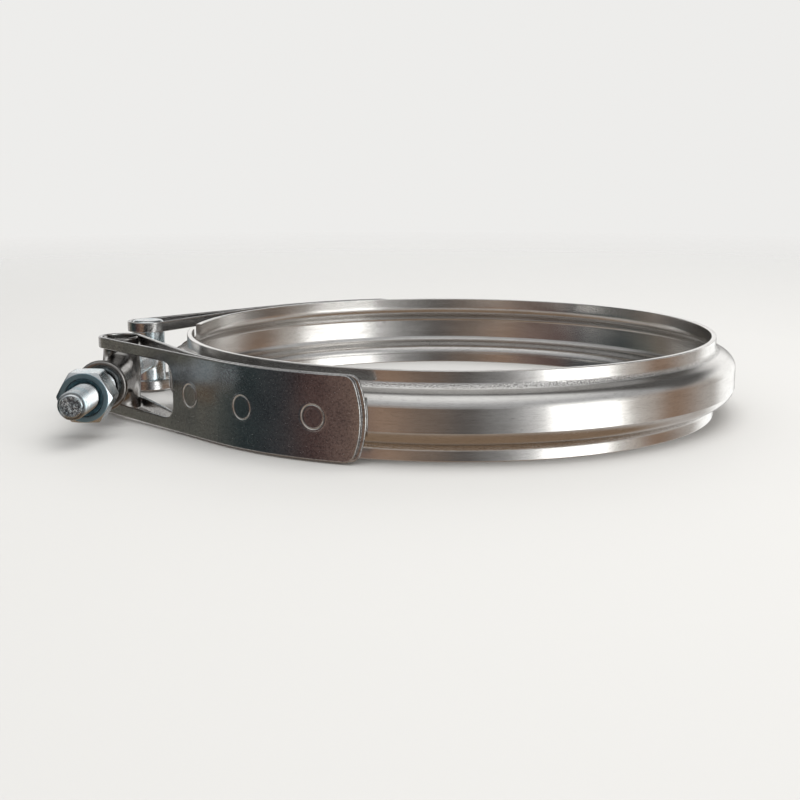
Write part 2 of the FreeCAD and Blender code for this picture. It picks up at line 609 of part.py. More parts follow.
def lock_nut_insert():
    """Turns the locking insert: a ring with a dished outer face, seated in the nut's recess."""
    body = new_body("lock_nut_insert")
    sketch = new_sketch(body, "insert_profile", "XY_Plane")
    axis = -SIZE["loop_reach"]
    seat = SIZE["nut_recess_depth"] - SIZE["nut_front"]
    bore = axis + SIZE["nut_bore_radius"]
    rim = axis + SIZE["nut_recess_radius"]
    top = seat - SIZE["insert_height"]
    dip = SIZE["insert_height"] / 4
    points = [Vector(bore, seat, 0), Vector(rim, seat, 0), Vector(rim, top, 0), Vector(bore, top + dip, 0)]
    sides = [line(sketch, one, other) for one, other in zip(points, points[1:] + points[:1])]
    join(sketch, [(side, 1, 2) for side in sides])
    bind(sketch, Sketcher.Constraint("Distance", sides[1], SIZE["insert_height"]), "sizes.insert_height")
    turn(body, "Revolution", "insert_ring", sketch, bolt_axis(sketch))
    return body


# Build, check and write ----------------------------------------------------------------------


def check(piece):
    """Stops the build unless a sub-part is one sound solid."""
    shape = piece.Shape
    if shape.isNull() or not shape.isValid() or len(shape.Solids) != 1:
        raise RuntimeError(f"{piece.Label} isn't one valid solid")
    print(f"{piece.Label}: {shape.Volume:.0f} mm3, {len(shape.Faces)} faces")


make_sheet()
back_ring = v_retainer()
back_strap = loop_strap()
pieces = [
    back_ring,
    mirrored(back_ring, "v_retainer_front"),
    back_strap,
    mirrored(back_strap, "trunnion_loop_strap"),
    trunnion(),
    t_bolt(),
    lock_nut(),
    lock_nut_insert(),
]
doc.recompute()

for item in doc.Objects:
    if "Invalid" in item.State or "Error" in item.State:
        raise RuntimeError(f"{item.Name} failed to build: {item.State}")
for piece in pieces:
    check(piece)

os.makedirs("parts", exist_ok=True)
for piece in pieces:
    piece.Shape.exportStep(f"parts/{piece.Label}.step")
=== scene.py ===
import math

import bmesh
import bpy
import numpy as np
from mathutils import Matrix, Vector
from mathutils.geometry import delaunay_2d_cdt


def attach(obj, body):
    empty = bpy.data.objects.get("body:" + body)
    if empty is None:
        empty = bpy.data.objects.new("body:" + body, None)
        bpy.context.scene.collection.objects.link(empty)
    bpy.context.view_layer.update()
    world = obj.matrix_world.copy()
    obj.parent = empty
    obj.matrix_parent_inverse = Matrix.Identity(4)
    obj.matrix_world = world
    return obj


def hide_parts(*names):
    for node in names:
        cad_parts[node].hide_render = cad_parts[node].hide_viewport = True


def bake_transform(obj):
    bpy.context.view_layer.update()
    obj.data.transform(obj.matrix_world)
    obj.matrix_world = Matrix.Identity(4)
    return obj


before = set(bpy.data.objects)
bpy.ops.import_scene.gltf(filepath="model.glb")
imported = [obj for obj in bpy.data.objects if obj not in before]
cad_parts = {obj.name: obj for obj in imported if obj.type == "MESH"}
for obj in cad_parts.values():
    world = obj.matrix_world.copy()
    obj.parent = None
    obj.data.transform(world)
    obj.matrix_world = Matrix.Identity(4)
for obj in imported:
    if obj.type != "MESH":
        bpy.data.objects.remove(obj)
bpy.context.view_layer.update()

# V-band T-bolt clamp. Shapes are worked out in millimetres and made in metres. The ring's axis is Z,
# the bolt runs along Y, and the front is -Y.

MM = 0.001
RIGHT_ANGLE = math.pi / 2
FULL_TURN = 2 * math.pi

CREST_RADIUS = 88.5
LOOP_REACH = 101.0
LOOP_SPREAD = 18.1
LOOP_DISTANCE = math.hypot(LOOP_REACH, LOOP_SPREAD)


# Mesh helpers --------------------------------------------------------------------------------


def face_outward(mesh):
    """Turns the faces of every closed shell in the mesh to its outside."""
    shells = bmesh.new()
    shells.from_mesh(mesh)
    bmesh.ops.recalc_face_normals(shells, faces=shells.faces)
    shells.to_mesh(mesh)
    shells.free()


def make_piece(name, points, faces, material, attributes):
    """Makes a smooth-shaded mesh object from points in millimetres."""
    mesh = bpy.data.meshes.new(name)
    mesh.from_pydata((np.asarray(points) * MM).tolist(), [], [list(face) for face in faces])
    mesh.validate()
    face_outward(mesh)
    mesh.shade_smooth()
    for label, values in attributes.items():
        values = np.asarray(values, np.float32)
        if values.ndim == 2:
            mesh.attributes.new(label, "FLOAT_VECTOR", "POINT").data.foreach_set("vector", values.ravel())
        else:
            mesh.attributes.new(label, "FLOAT", "POINT").data.foreach_set("value", values)
    mesh.materials.append(material)
    piece = bpy.data.objects.new(name, mesh)
    bpy.context.scene.collection.objects.link(piece)
    return piece


def grid_faces(rows, columns, closed=False):
    """Returns the quads between rows of points: each row is a loop, and the last can join the first."""
    row = np.arange(rows if closed else rows - 1)
    i, j = (axis.ravel() for axis in np.meshgrid(row, np.arange(columns), indexing="ij"))
    i_next, j_next = (i + 1) % rows, (j + 1) % columns
    corners = [(i, j), (i, j_next), (i_next, j_next), (i_next, j)]
    return np.stack([a * columns + b for a, b in corners], 1).tolist()


def smooth_step(value):
    """Eases from 0 to 1 as the value goes from 0 to 1."""
    value = np.clip(value, 0, 1)
    return value * value * (3 - 2 * value)


def soft_max(one, other, radius):
    """Returns the larger value, rounded where the two are closer than the radius."""
    gap = np.clip(0.5 + 0.5 * (one - other) / radius, 0, 1)
    return other + (one - other) * gap + radius * gap * (1 - gap)


def soft_min(one, other, radius):
    """Returns the smaller value, rounded where the two are closer than the radius."""
    return -soft_max(-one, -other, radius)


def field_surface(field, low, high, step):
    """Returns the points and quads of the surface where a field of the position is zero.

    Each grid cell that the surface crosses gets one point, and the points are then evened out and
    drawn back onto the surface a few times.
    """
    rounds, own_share, probe = 6, 0.4, 0.001
    axes = [np.arange(a, b + step, step) for a, b in zip(low, high)]
    grid = np.stack(np.meshgrid(*axes, indexing="ij"), -1)
    value = field(grid.reshape(-1, 3)).reshape(grid.shape[:3])
    total = np.zeros(tuple(size - 1 for size in value.shape) + (3,))
    count = np.zeros(total.shape[:3])
    for axis in range(3):
        levels, places = np.moveaxis(value, axis, 0), np.moveaxis(grid, axis, 0)
        crosses = (levels[:-1] < 0) != (levels[1:] < 0)
        share = np.where(crosses, levels[:-1] / np.where(crosses, levels[:-1] - levels[1:], 1), 0)
        met = (places[:-1] + (places[1:] - places[:-1]) * share[..., None]) * crosses[..., None]
        rows, columns = crosses.shape[1] - 1, crosses.shape[2] - 1
        for a in (0, 1):
            for b in (0, 1):
                total += np.moveaxis(met[:, a:rows + a, b:columns + b], 0, axis)
                count += np.moveaxis(crosses[:, a:rows + a, b:columns + b], 0, axis)
    active = count > 0
    index = np.full(active.shape, -1)
    index[active] = np.arange(active.sum())
    points = total[active] / count[active][:, None]
    faces = []
    for axis in range(3):
        inside, cells = np.moveaxis(value < 0, axis, 0), np.moveaxis(index, axis, 0)
        i, j, k = np.nonzero(inside[:-1, 1:-1, 1:-1] != inside[1:, 1:-1, 1:-1])
        corners = [cells[i, j, k], cells[i, j + 1, k], cells[i, j + 1, k + 1], cells[i, j, k + 1]]
        faces.append(np.stack(corners, 1))
    faces = np.vstack(faces)
    one, other = faces.ravel(), np.roll(faces, -1, 1).ravel()
    joined = np.bincount(one, minlength=len(points)) + np.bincount(other, minlength=len(points))
    for _ in range(rounds):
        near = np.stack([np.bincount(one, points[other, c], len(points))
                         + np.bincount(other, points[one, c], len(points)) for c in range(3)], 1)
        points = own_share * points + (1 - own_share) * near / joined[:, None]
        for _ in range(3):
            slope = np.stack([(field(points + shift) - field(points - shift)) / (2 * probe)
                              for shift in np.eye(3) * probe], 1)
            points = points - slope * (field(points) / np.maximum((slope ** 2).sum(1), 0.05))[:, None]
    return points, faces.tolist()


# Material helpers ----------------------------------------------------------------------------


def new_material(name, metallic=1.0):
    """Starts a node material and returns it with its tree and its shader."""
    material = bpy.data.materials.new(name)
    material.use_nodes = True
    shader = material.node_tree.nodes["Principled BSDF"]
    shader.inputs["Metallic"].default_value = metallic
    return material, material.node_tree, shader


def feed(tree, socket, value):
    """Links an output to a socket, or sets the socket's value."""
    if isinstance(value, bpy.types.NodeSocket):
        tree.links.new(value, socket)
    else:
        socket.default_value = value


def attribute(tree, name, output="Vector"):
    """Reads a value stored on the mesh's points."""
    node = tree.nodes.new("ShaderNodeAttribute")
    node.attribute_name = name
    return node.outputs[output]


def stretched(tree, vector, scale, turn=0.0):
    """Scales a position along each axis, so that noise on it becomes streaks."""
    node = tree.nodes.new("ShaderNodeMapping")
    node.inputs["Scale"].default_value = scale
    node.inputs["Rotation"].default_value = (0, 0, turn)
    feed(tree, node.inputs["Vector"], vector)
    return node.outputs["Vector"]


def noise(tree, vector, scale, detail=3.0, roughness=0.5):
    """Adds a noise texture and returns its value."""
    node = tree.nodes.new("ShaderNodeTexNoise")
    node.inputs["Scale"].default_value = scale
    node.inputs["Detail"].default_value = detail
    node.inputs["Roughness"].default_value = roughness
    feed(tree, node.inputs["Vector"], vector)
    return node.outputs["Fac"]


def spread(tree, value, low, high, new_low=0.0, new_high=1.0):
    """Maps a range of values to another one, clamped."""
    node = tree.nodes.new("ShaderNodeMapRange")
    feed(tree, node.inputs["Value"], value)
    for label, number in zip(("From Min", "From Max", "To Min", "To Max"), (low, high, new_low, new_high)):
        feed(tree, node.inputs[label], number)
    return node.outputs["Result"]


def maths(tree, kind, one, other):
    """Combines two values with a maths node of this kind."""
    node = tree.nodes.new("ShaderNodeMath")
    node.operation = kind
    feed(tree, node.inputs[0], one)
    feed(tree, node.inputs[1], other)
    return node.outputs[0]


def blend_colour(tree, factor, one, other):
    """Mixes two colours by a factor."""
    node = tree.nodes.new("ShaderNodeMix")
    node.data_type = "RGBA"
    feed(tree, node.inputs["Factor"], factor)
    feed(tree, node.inputs["A"], (*one, 1) if isinstance(one, tuple) else one)
    feed(tree, node.inputs["B"], (*other, 1) if isinstance(other, tuple) else other)
    return node.outputs["Result"]


def add_bump(tree, height, depth, normal=None):
    """Adds relief of this depth in metres and returns the new normal."""
    node = tree.nodes.new("ShaderNodeBump")
    node.inputs["Distance"].default_value = depth
    node.inputs["Strength"].default_value = 1.0
    feed(tree, node.inputs["Height"], height)
    if normal is not None:
        feed(tree, node.inputs["Normal"], normal)
    return node.outputs["Normal"]


# Materials -----------------------------------------------------------------------------------


def ring_steel():
    """Rolled stainless: satin, drawn round the ring, with orange peel in the foot bends.

    "flat" is the place on the sheet in millimetres, and "bend" is 1 where the sheet is bent hardest.
    """
    material, tree, shader = new_material("ring_steel")
    flat = attribute(tree, "flat")
    bend = attribute(tree, "bend", "Fac")
    lines = noise(tree, stretched(tree, flat, (0.02, 9.0, 1.0)), 1.0, 5.0, 0.7)
    cloud = noise(tree, stretched(tree, flat, (0.05, 0.25, 1.0)), 1.0, 4.0, 0.6)
    grain = noise(tree, stretched(tree, flat, (0.5, 2.4, 1.0)), 1.0, 4.0, 0.8)
    wave = noise(tree, stretched(tree, flat, (0.03, 0.10, 1.0)), 1.0, 1.0)
    peel = noise(tree, stretched(tree, flat, (1.9, 2.3, 1.0)), 1.0, 1.5, 0.6)
    pits = maths(tree, "MULTIPLY", spread(tree, peel, 0.50, 0.60), bend)
    peel = maths(tree, "MULTIPLY", peel, bend)
    colour = blend_colour(tree, spread(tree, cloud, 0.45, 0.75), (0.69, 0.68, 0.665), (0.57, 0.55, 0.53))
    colour = blend_colour(tree, spread(tree, grain, 0.52, 0.75, 0.0, 0.5), colour, (0.34, 0.33, 0.32))
    colour = blend_colour(tree, maths(tree, "MULTIPLY", pits, 0.6), colour, (0.20, 0.19, 0.18))
    feed(tree, shader.inputs["Base Color"], colour)
    feed(tree, shader.inputs["Roughness"], spread(tree, lines, 0.3, 0.7, 0.14, 0.26))
    shader.inputs["Anisotropic"].default_value = 0.7
    shader.inputs["Anisotropic Rotation"].default_value = 0.25
    tangent = tree.nodes.new("ShaderNodeTangent")
    tangent.direction_type = "RADIAL"
    tangent.axis = "Z"
    feed(tree, shader.inputs["Tangent"], tangent.outputs["Tangent"])
    normal = add_bump(tree, wave, 0.00010)
    normal = add_bump(tree, lines, 0.000004, normal)
    normal = add_bump(tree, peel, 0.00020, normal)
    feed(tree, shader.inputs["Normal"], normal)
    return material


def strap_steel():
    """Bright cold-rolled stainless: mirror-like with fine grain and dark specks.

    "heat" is 1 where a weld has tinted the sheet straw, and "mark" is 1 on the welds' bright rings.
    """
    material, tree, shader = new_material("strap_steel")
    flat = attribute(tree, "flat")
    grain = noise(tree, flat, 1.7, 4.0, 0.75)
    cloud = noise(tree, flat, 0.12, 3.0, 0.6)
    wave = noise(tree, flat, 0.07, 1.0)
    scratch = noise(tree, stretched(tree, flat, (0.15, 6.0, 1.0), 0.4), 1.0, 2.0, 0.8)
    scratch = spread(tree, scratch, 0.66, 0.74)
    colour = blend_colour(tree, spread(tree, cloud, 0.35, 0.7), (0.62, 0.62, 0.61), (0.50, 0.50, 0.51))
    speck = noise(tree, flat, 1.5, 4.0, 0.85)
    thickly = spread(tree, cloud, 0.25, 0.65, 0.35, 1.0)
    specks = maths(tree, "MULTIPLY", spread(tree, speck, 0.47, 0.60), thickly)
    colour = blend_colour(tree, maths(tree, "MULTIPLY", specks, 0.7), colour, (0.12, 0.12, 0.13))
    heat = attribute(tree, "heat", "Fac")
    blotch = maths(tree, "MULTIPLY", heat, spread(tree, noise(tree, flat, 0.6, 3.0), 0.3, 0.55, 0.6, 1.0))
    colour = blend_colour(tree, blotch, colour, (0.62, 0.54, 0.12))
    feed(tree, shader.inputs["Metallic"], spread(tree, blotch, 0.0, 1.0, 1.0, 0.45))
    mark = attribute(tree, "mark", "Fac")
    colour = blend_colour(tree, mark, colour, (0.86, 0.85, 0.80))
    feed(tree, shader.inputs["Base Color"], colour)
    rough = spread(tree, grain, 0.35, 0.7, 0.12, 0.28)
    rough = maths(tree, "ADD", rough, maths(tree, "MULTIPLY", scratch, 0.1))
    rough = maths(tree, "ADD", rough, maths(tree, "MULTIPLY", blotch, 0.25))
    feed(tree, shader.inputs["Roughness"], maths(tree, "ADD", rough, maths(tree, "MULTIPLY", mark, 0.25)))
    normal = add_bump(tree, wave, 0.00018)
    normal = add_bump(tree, grain, 0.000018, normal)
    feed(tree, shader.inputs["Normal"], normal)
    return material


def trunnion_steel():
    """Deep-drawn stainless: darker and shiny, with faint draw lines along the neck. The darker colours are
    painted shade, standing in for the dark surroundings that the neck mirrors.
    """
    material, tree, shader = new_material("trunnion_steel")
    flat = attribute(tree, "flat")
    draw = noise(tree, stretched(tree, flat, (3.0, 0.12, 3.0)), 1.0, 4.0, 0.6)
    cloud = noise(tree, flat, 0.25, 4.0, 0.6)
    # Painted shade: both colours are darker than bare stainless, standing in for dark mirrored
    # surroundings.
    colour = blend_colour(tree, spread(tree, cloud, 0.35, 0.7), (0.33, 0.32, 0.31), (0.18, 0.175, 0.17))
    feed(tree, shader.inputs["Base Color"], colour)
    feed(tree, shader.inputs["Roughness"], spread(tree, draw, 0.3, 0.7, 0.13, 0.27))
    normal = add_bump(tree, cloud, 0.00006)
    normal = add_bump(tree, draw, 0.000012, normal)
    feed(tree, shader.inputs["Normal"], normal)
    return material


def zinc_plate():
    """Blue-white zinc plating: bright, with a teal bloom and worn grey patches.

    "dull" is 1 on slate-blue faces and "sheared" on the stud's torn end. A third value darkens the thread
    towards its roots: painted shade, so that the thread shows.
    """
    material, tree, shader = new_material("zinc_plated_steel")
    flat = attribute(tree, "flat")
    bloom = noise(tree, flat, 0.22, 3.0, 0.6)
    grain = noise(tree, flat, 2.2, 4.0, 0.7)
    colour = blend_colour(tree, spread(tree, bloom, 0.42, 0.62), (0.74, 0.77, 0.79), (0.55, 0.66, 0.71))
    colour = blend_colour(tree, spread(tree, grain, 0.56, 0.74, 0.0, 0.6), colour, (0.36, 0.38, 0.40))
    dull = attribute(tree, "dull", "Fac")
    colour = blend_colour(tree, maths(tree, "MULTIPLY", dull, 0.85), colour, (0.17, 0.30, 0.37))
    sheared = attribute(tree, "sheared", "Fac")
    torn = noise(tree, flat, 1.3, 5.0, 0.8)
    shade = maths(tree, "MULTIPLY", spread(tree, torn, 0.48, 0.60, 0.92, 0.0), sheared)
    colour = blend_colour(tree, shade, colour, (0.06, 0.06, 0.07))
    # Painted shade: the thread is darkened towards its roots, where shade falls in the grooves.
    root_shade = attribute(tree, "root_shade", "Fac")
    colour = blend_colour(tree, maths(tree, "MULTIPLY", root_shade, 0.85), colour, (0.07, 0.08, 0.09))
    feed(tree, shader.inputs["Base Color"], colour)
    rough = spread(tree, grain, 0.3, 0.7, 0.12, 0.32)
    feed(tree, shader.inputs["Roughness"], maths(tree, "ADD", rough, maths(tree, "MULTIPLY", dull, 0.3)))
    normal = add_bump(tree, grain, 0.000020)
    normal = add_bump(tree, maths(tree, "MULTIPLY", torn, sheared), 0.0007, normal)
    feed(tree, shader.inputs["Normal"], normal)
    return material


def insert_plastic():
    """Dark blue-green locking ring with a slightly uneven, scuffed surface."""
    material, tree, shader = new_material("locking_insert", metallic=0.0)
    flat = attribute(tree, "flat")
    scuff = noise(tree, flat, 1.2, 4.0, 0.7)
    colour = blend_colour(tree, spread(tree, scuff, 0.4, 0.7), (0.014, 0.036, 0.048), (0.06, 0.13, 0.16))
    feed(tree, shader.inputs["Base Color"], colour)
    feed(tree, shader.inputs["Roughness"], spread(tree, scuff, 0.3, 0.7, 0.35, 0.6))
    feed(tree, shader.inputs["Normal"], add_bump(tree, scuff, 0.00004))
    return material


# The V-section ring --------------------------------------------------------------------------

RING_SHEET = 1.5
RING_HALF_WIDTH = 12.0
CREST_HALF_WIDTH = 3.2
CREST_RISE = 6.0
FOOT_BEND = 2.0
LEG_ANGLE = math.radians(20)
MOUTH_HALF_GAP = 5.5
EDGE_ROUND = 0.25
CREASE = math.radians(14)
SHOULDER_ROUND = 5.0
EDGE_POINTS = 6
RING_STATIONS = 421
RING_SHARP = math.radians(9)
INSIDE_PEEL = 0.35
# The ring is slightly uneven: depth, waves round the ring and phase, in a ring this much smaller.
RING_WOBBLE = [(0.02, 5, 1), (0.012, 11, 2)]
RING_INSET = 0.035


def half_section():
    """Returns the outer points, normals and bend amounts from the crest's middle to the foot's edge."""
    sine, cosine = math.sin(LEG_ANGLE), math.cos(LEG_ANGLE)
    steepest = RIGHT_ANGLE - LEG_ANGLE
    points, normals, bends = [], [], []

    def add(radius, height, angle, bend=0.0):
        points.append((radius, height))
        normals.append((math.cos(angle), math.sin(angle)))
        bends.append(bend)

    for step in np.linspace(0, 0.95, 6):
        add(CREST_RADIUS, CREST_HALF_WIDTH * step, 0)
    add(CREST_RADIUS, CREST_HALF_WIDTH, CREASE / 2)
    centre = np.array([CREST_RADIUS - SHOULDER_ROUND * math.cos(CREASE),
                       CREST_HALF_WIDTH - SHOULDER_ROUND * math.sin(CREASE)])
    for angle in np.linspace(CREASE, steepest, 15)[1:]:
        add(*(centre + SHOULDER_ROUND * np.array([math.cos(angle), math.sin(angle)])), angle)
    leg_start = np.array(points[-1])
    leg = (CREST_RISE - (CREST_RADIUS - leg_start[0]) - FOOT_BEND * (1 - sine)) / cosine
    leg_end = leg_start + leg * np.array([-cosine, sine])
    for step in np.linspace(0.2, 0.8, 3):
        add(*(leg_start + (leg_end - leg_start) * step), steepest)
    bend_centre = leg_end + FOOT_BEND * np.array([sine, cosine])
    for step in np.linspace(0, 1, 12):
        angle = steepest * (1 - step)
        peel = float(smooth_step(2.5 * step) * smooth_step(2.5 - 2.5 * step))
        add(*(bend_centre - FOOT_BEND * np.array([math.cos(angle), math.sin(angle)])), angle, peel)
    foot_start = bend_centre[1]
    for step in np.linspace(0.15, 1, 6):
        add(CREST_RADIUS - CREST_RISE, foot_start + (RING_HALF_WIDTH - EDGE_ROUND - foot_start) * step, 0)
    return np.array(points), np.array(normals), np.array(bends)


def sheet_edge(sign):
    """Returns the rounded edge of a foot, from its outer to its inner face; +1 is the upper foot."""
    centre_radius = CREST_RADIUS - CREST_RISE - RING_SHEET / 2
    centre_height = RING_HALF_WIDTH - EDGE_ROUND
    middle = RING_SHEET / 2 - EDGE_ROUND
    turns = np.linspace(0, RIGHT_ANGLE, EDGE_POINTS // 2 + 1)[1:]
    rounded = [(centre_radius + middle + EDGE_ROUND * math.cos(turn),
                centre_height + EDGE_ROUND * math.sin(turn)) for turn in turns]
    rounded += [(2 * centre_radius - radius, height) for radius, height in rounded[::-1]]
    return [(radius, sign * height) for radius, height in rounded]


def ring_section():
    """Returns the ring's closed section, its bend amounts and the number of points on its outside."""
    half, half_normals, half_bends = half_section()
    flip = np.array([1, -1])
    outer = np.vstack([half[::-1], half[1:] * flip])
    normals = np.vstack([half_normals[::-1], half_normals[1:] * flip])
    bends = np.concatenate([half_bends[::-1], half_bends[1:]])
    inner = outer - RING_SHEET * normals
    section = np.array([*outer, *sheet_edge(-1), *inner[::-1], *sheet_edge(1)[::-1]])
    flat_edge = [0.0] * EDGE_POINTS
    all_bends = np.array([*bends, *flat_edge, *(INSIDE_PEEL * bends[::-1]), *flat_edge])
    return section, all_bends, len(outer)


def mouth_faces(size, outside, last):
    """Returns the faces that close the section at both ends of the ring."""
    inside_first = outside + EDGE_POINTS
    faces = [list(range(outside - 1, inside_first + 1)), [*range(size - EDGE_POINTS - 1, size), 0]]
    for number in range(outside - 1):
        facing = inside_first + outside - 1 - number
        faces.append([number, facing, facing - 1, number + 1])
    return faces + [[last + corner for corner in face] for face in faces]


def ring():
    """Makes the one-piece rolled ring, open at the mouth, with rounded sheet edges."""
    section, bends, outside = ring_section()
    steps = np.diff(section, axis=0, append=section[:1])
    across = np.cumsum(np.hypot(*steps.T))
    mouth = math.asin(MOUTH_HALF_GAP / CREST_RADIUS)
    angles = np.linspace(-math.pi + mouth, math.pi - mouth, RING_STATIONS)
    wobble = sum(depth * np.sin(waves * angles + phase) for depth, waves, phase in RING_WOBBLE)
    radius, height = section.T
    reach = np.add.outer(wobble, radius - RING_INSET)
    points = np.stack([reach * np.cos(angles)[:, None], reach * np.sin(angles)[:, None],
                       np.tile(height, (RING_STATIONS, 1))], -1).reshape(-1, 3)
    flat = np.stack([np.repeat(angles * CREST_RADIUS, len(section)), np.tile(across, RING_STATIONS),
                     np.zeros(len(points))], 1)
    faces = grid_faces(RING_STATIONS, len(section))
    faces += mouth_faces(len(section), outside, (RING_STATIONS - 1) * len(section))
    piece = make_piece("v_retainer_ring", points, faces, STEEL["ring"],
                       {"flat": flat, "bend": np.tile(bends, RING_STATIONS)})
    piece.data.set_sharp_from_angle(angle=RING_SHARP)
    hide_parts("v_retainer_front", "v_retainer_back")
    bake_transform(piece)


# The loop straps -----------------------------------------------------------------------------

STRAP_SHEET = 1.15
STRAP_HALF_WIDTH = 11.4
STRAP_ROUND = 0.28
LAYER_GAP = 0.1
LOOP_BORE = 5.5
END_REACH = 22.5
END_BOW = 27.0
CORNER = 3.0
WINDOW_CORNER = 4.5
WINDOW_HALF = 8.1
WINDOW_START = 20.2
WELD_COUNT = 3
WELD_RADIUS = 3.2
WELD_PITCH = 23.3
WELD_START = 11.4
INNER_END_SHOWS = 1.1
PATTERN_APART = 40.0
PATTERN_BELOW = (0, 0, 7)

# Lines of points in the flat pattern: inside its edges, and round each weld.
POINT_SPACING = 0.7
PAST_EDGE = 1.0
EDGE_INSETS = [0, 0.05, 0.13, STRAP_ROUND, STRAP_ROUND + 0.14]
WELD_RINGS = [0.5, 1.0, 1.5, 1.9, 2.1, 2.25, 2.4, 2.6, 2.8, 2.95, 3.05, 3.15, 3.25, 3.35, 3.5,
              3.8, 4.3, 5.0]

INNER_MIDDLE = CREST_RADIUS + STRAP_SHEET / 2
OUTER_MIDDLE = INNER_MIDDLE + STRAP_SHEET + LAYER_GAP
LOOP_MIDDLE = LOOP_BORE + STRAP_SHEET / 2
LOOP_CENTRE = np.array([-LOOP_REACH, LOOP_SPREAD])
LOOP_ANGLE = math.atan2(LOOP_SPREAD, -LOOP_REACH)
OUTER_TURN = LOOP_ANGLE - math.acos((OUTER_MIDDLE - LOOP_MIDDLE) / LOOP_DISTANCE)
INNER_TURN = LOOP_ANGLE - math.acos((INNER_MIDDLE + LOOP_MIDDLE) / LOOP_DISTANCE)
OUTER_END = RIGHT_ANGLE + math.asin(END_REACH / (OUTER_MIDDLE + STRAP_SHEET / 2))
INNER_END = OUTER_END - INNER_END_SHOWS / INNER_MIDDLE

ARC_LENGTH = OUTER_MIDDLE * (OUTER_TURN - OUTER_END)
RUN_LENGTH = math.sqrt(LOOP_DISTANCE ** 2 - (OUTER_MIDDLE - LOOP_MIDDLE) ** 2)
LOOP_LENGTH = LOOP_MIDDLE * (INNER_TURN + math.pi - OUTER_TURN)
RETURN_LENGTH = math.sqrt(LOOP_DISTANCE ** 2 - (INNER_MIDDLE + LOOP_MIDDLE) ** 2)
SEAT_LENGTH = INNER_MIDDLE * (INNER_TURN - INNER_END)
STRIP_LENGTH = ARC_LENGTH + RUN_LENGTH + LOOP_LENGTH + RETURN_LENGTH + SEAT_LENGTH


def on_circle(radius, angle, centre=(0.0, 0.0)):
    """Returns points on a circle in the XY plane."""
    return np.stack([centre[0] + radius * np.cos(angle), centre[1] + radius * np.sin(angle)], -1)


def strip_position(along):
    """Returns the middle of the folded strip and its outward direction at distances along it.

    The strip runs from the outer end along the ring, straight to the loop, round it, straight back
    and along the ring again under its own outer layer.
    """
    middle = np.zeros((len(along), 2))
    outward = np.zeros((len(along), 2))

    def place(where, at, facing):
        middle[where] = at
        outward[where] = facing

    marks = np.cumsum([ARC_LENGTH, RUN_LENGTH, LOOP_LENGTH, RETURN_LENGTH])
    where = along < marks[0]
    angle = OUTER_END + along[where] / OUTER_MIDDLE
    place(where, on_circle(OUTER_MIDDLE, angle), on_circle(1, angle))
    where = (along >= marks[0]) & (along < marks[1])
    travel = (along[where] - marks[0])[:, None]
    direction = on_circle(1, np.array(OUTER_TURN + RIGHT_ANGLE))
    place(where, on_circle(OUTER_MIDDLE, np.array(OUTER_TURN)) + travel * direction,
          on_circle(1, np.array(OUTER_TURN)))
    where = (along >= marks[1]) & (along < marks[2])
    angle = OUTER_TURN + (along[where] - marks[1]) / LOOP_MIDDLE
    place(where, on_circle(LOOP_MIDDLE, angle, LOOP_CENTRE), on_circle(1, angle))
    where = (along >= marks[2]) & (along < marks[3])
    travel = (along[where] - marks[2])[:, None]
    back_turn = np.array(INNER_TURN + math.pi)
    direction = on_circle(1, back_turn + RIGHT_ANGLE)
    place(where, on_circle(LOOP_MIDDLE, back_turn, LOOP_CENTRE) + travel * direction,
          on_circle(1, back_turn))
    where = along >= marks[3]
    angle = INNER_TURN - (along[where] - marks[3]) / INNER_MIDDLE
    place(where, on_circle(INNER_MIDDLE, angle), on_circle(1, angle + math.pi))
    return middle, outward


def arc_points(centre, radius, first, last, spacing):
    """Returns points along an arc, without its last one."""
    count = max(3, int(abs(last - first) * radius / spacing) + 1)
    angles = np.linspace(first, last, count, endpoint=False)
    return [(centre[0] + radius * math.cos(a), centre[1] + radius * math.sin(a)) for a in angles]


def line_points(start, end, spacing):
    """Returns points along a line, without its last one."""
    count = max(2, int(math.dist(start, end) / spacing) + 1)
    return [tuple(point) for point in np.linspace(start, end, count, endpoint=False)]


def strip_outline(inset):
    """Returns the flat strip's outline, this far inside its edge: straight sides and bowed ends."""
    half = STRAP_HALF_WIDTH
    corner_height = half - CORNER
    lean = math.asin(corner_height / (END_BOW - CORNER))
    reach = END_BOW - (END_BOW - CORNER) * math.cos(lean)
    near, far = reach, STRIP_LENGTH - reach
    bow, corner, side = END_BOW - inset, CORNER - inset, half - inset
    fine = POINT_SPACING / 2
    outline = arc_points((END_BOW, 0), bow, math.pi - lean, math.pi + lean, POINT_SPACING)
    outline += arc_points((near, -corner_height), corner, math.pi + lean, math.pi + RIGHT_ANGLE, fine)
    outline += line_points((near, -side), (far, -side), POINT_SPACING)
    outline += arc_points((far, -corner_height), corner, -RIGHT_ANGLE, -lean, fine)
    outline += arc_points((STRIP_LENGTH - END_BOW, 0), bow, -lean, lean, POINT_SPACING)
    outline += arc_points((far, corner_height), corner, lean, RIGHT_ANGLE, fine)
    outline += line_points((far, side), (near, side), POINT_SPACING)
    outline += arc_points((near, corner_height), corner, RIGHT_ANGLE, math.pi - lean, fine)
    return outline


def window_span():
    """Returns where the window starts and ends along the strip: one plane cuts both runs.

    The end is looked for in small steps over the strip's return to the ring.
    """
    steps, short_of_end = 4000, 20
    start = ARC_LENGTH + WINDOW_START
    plane, facing = strip_position(np.array([start]))
    direction = np.array([-facing[0, 1], facing[0, 0]])
    run = np.linspace(ARC_LENGTH + RUN_LENGTH + LOOP_LENGTH, STRIP_LENGTH - short_of_end, steps)
    beyond = (strip_position(run)[0] - plane[0]) @ direction
    return start, run[np.argmax(beyond < 0)]


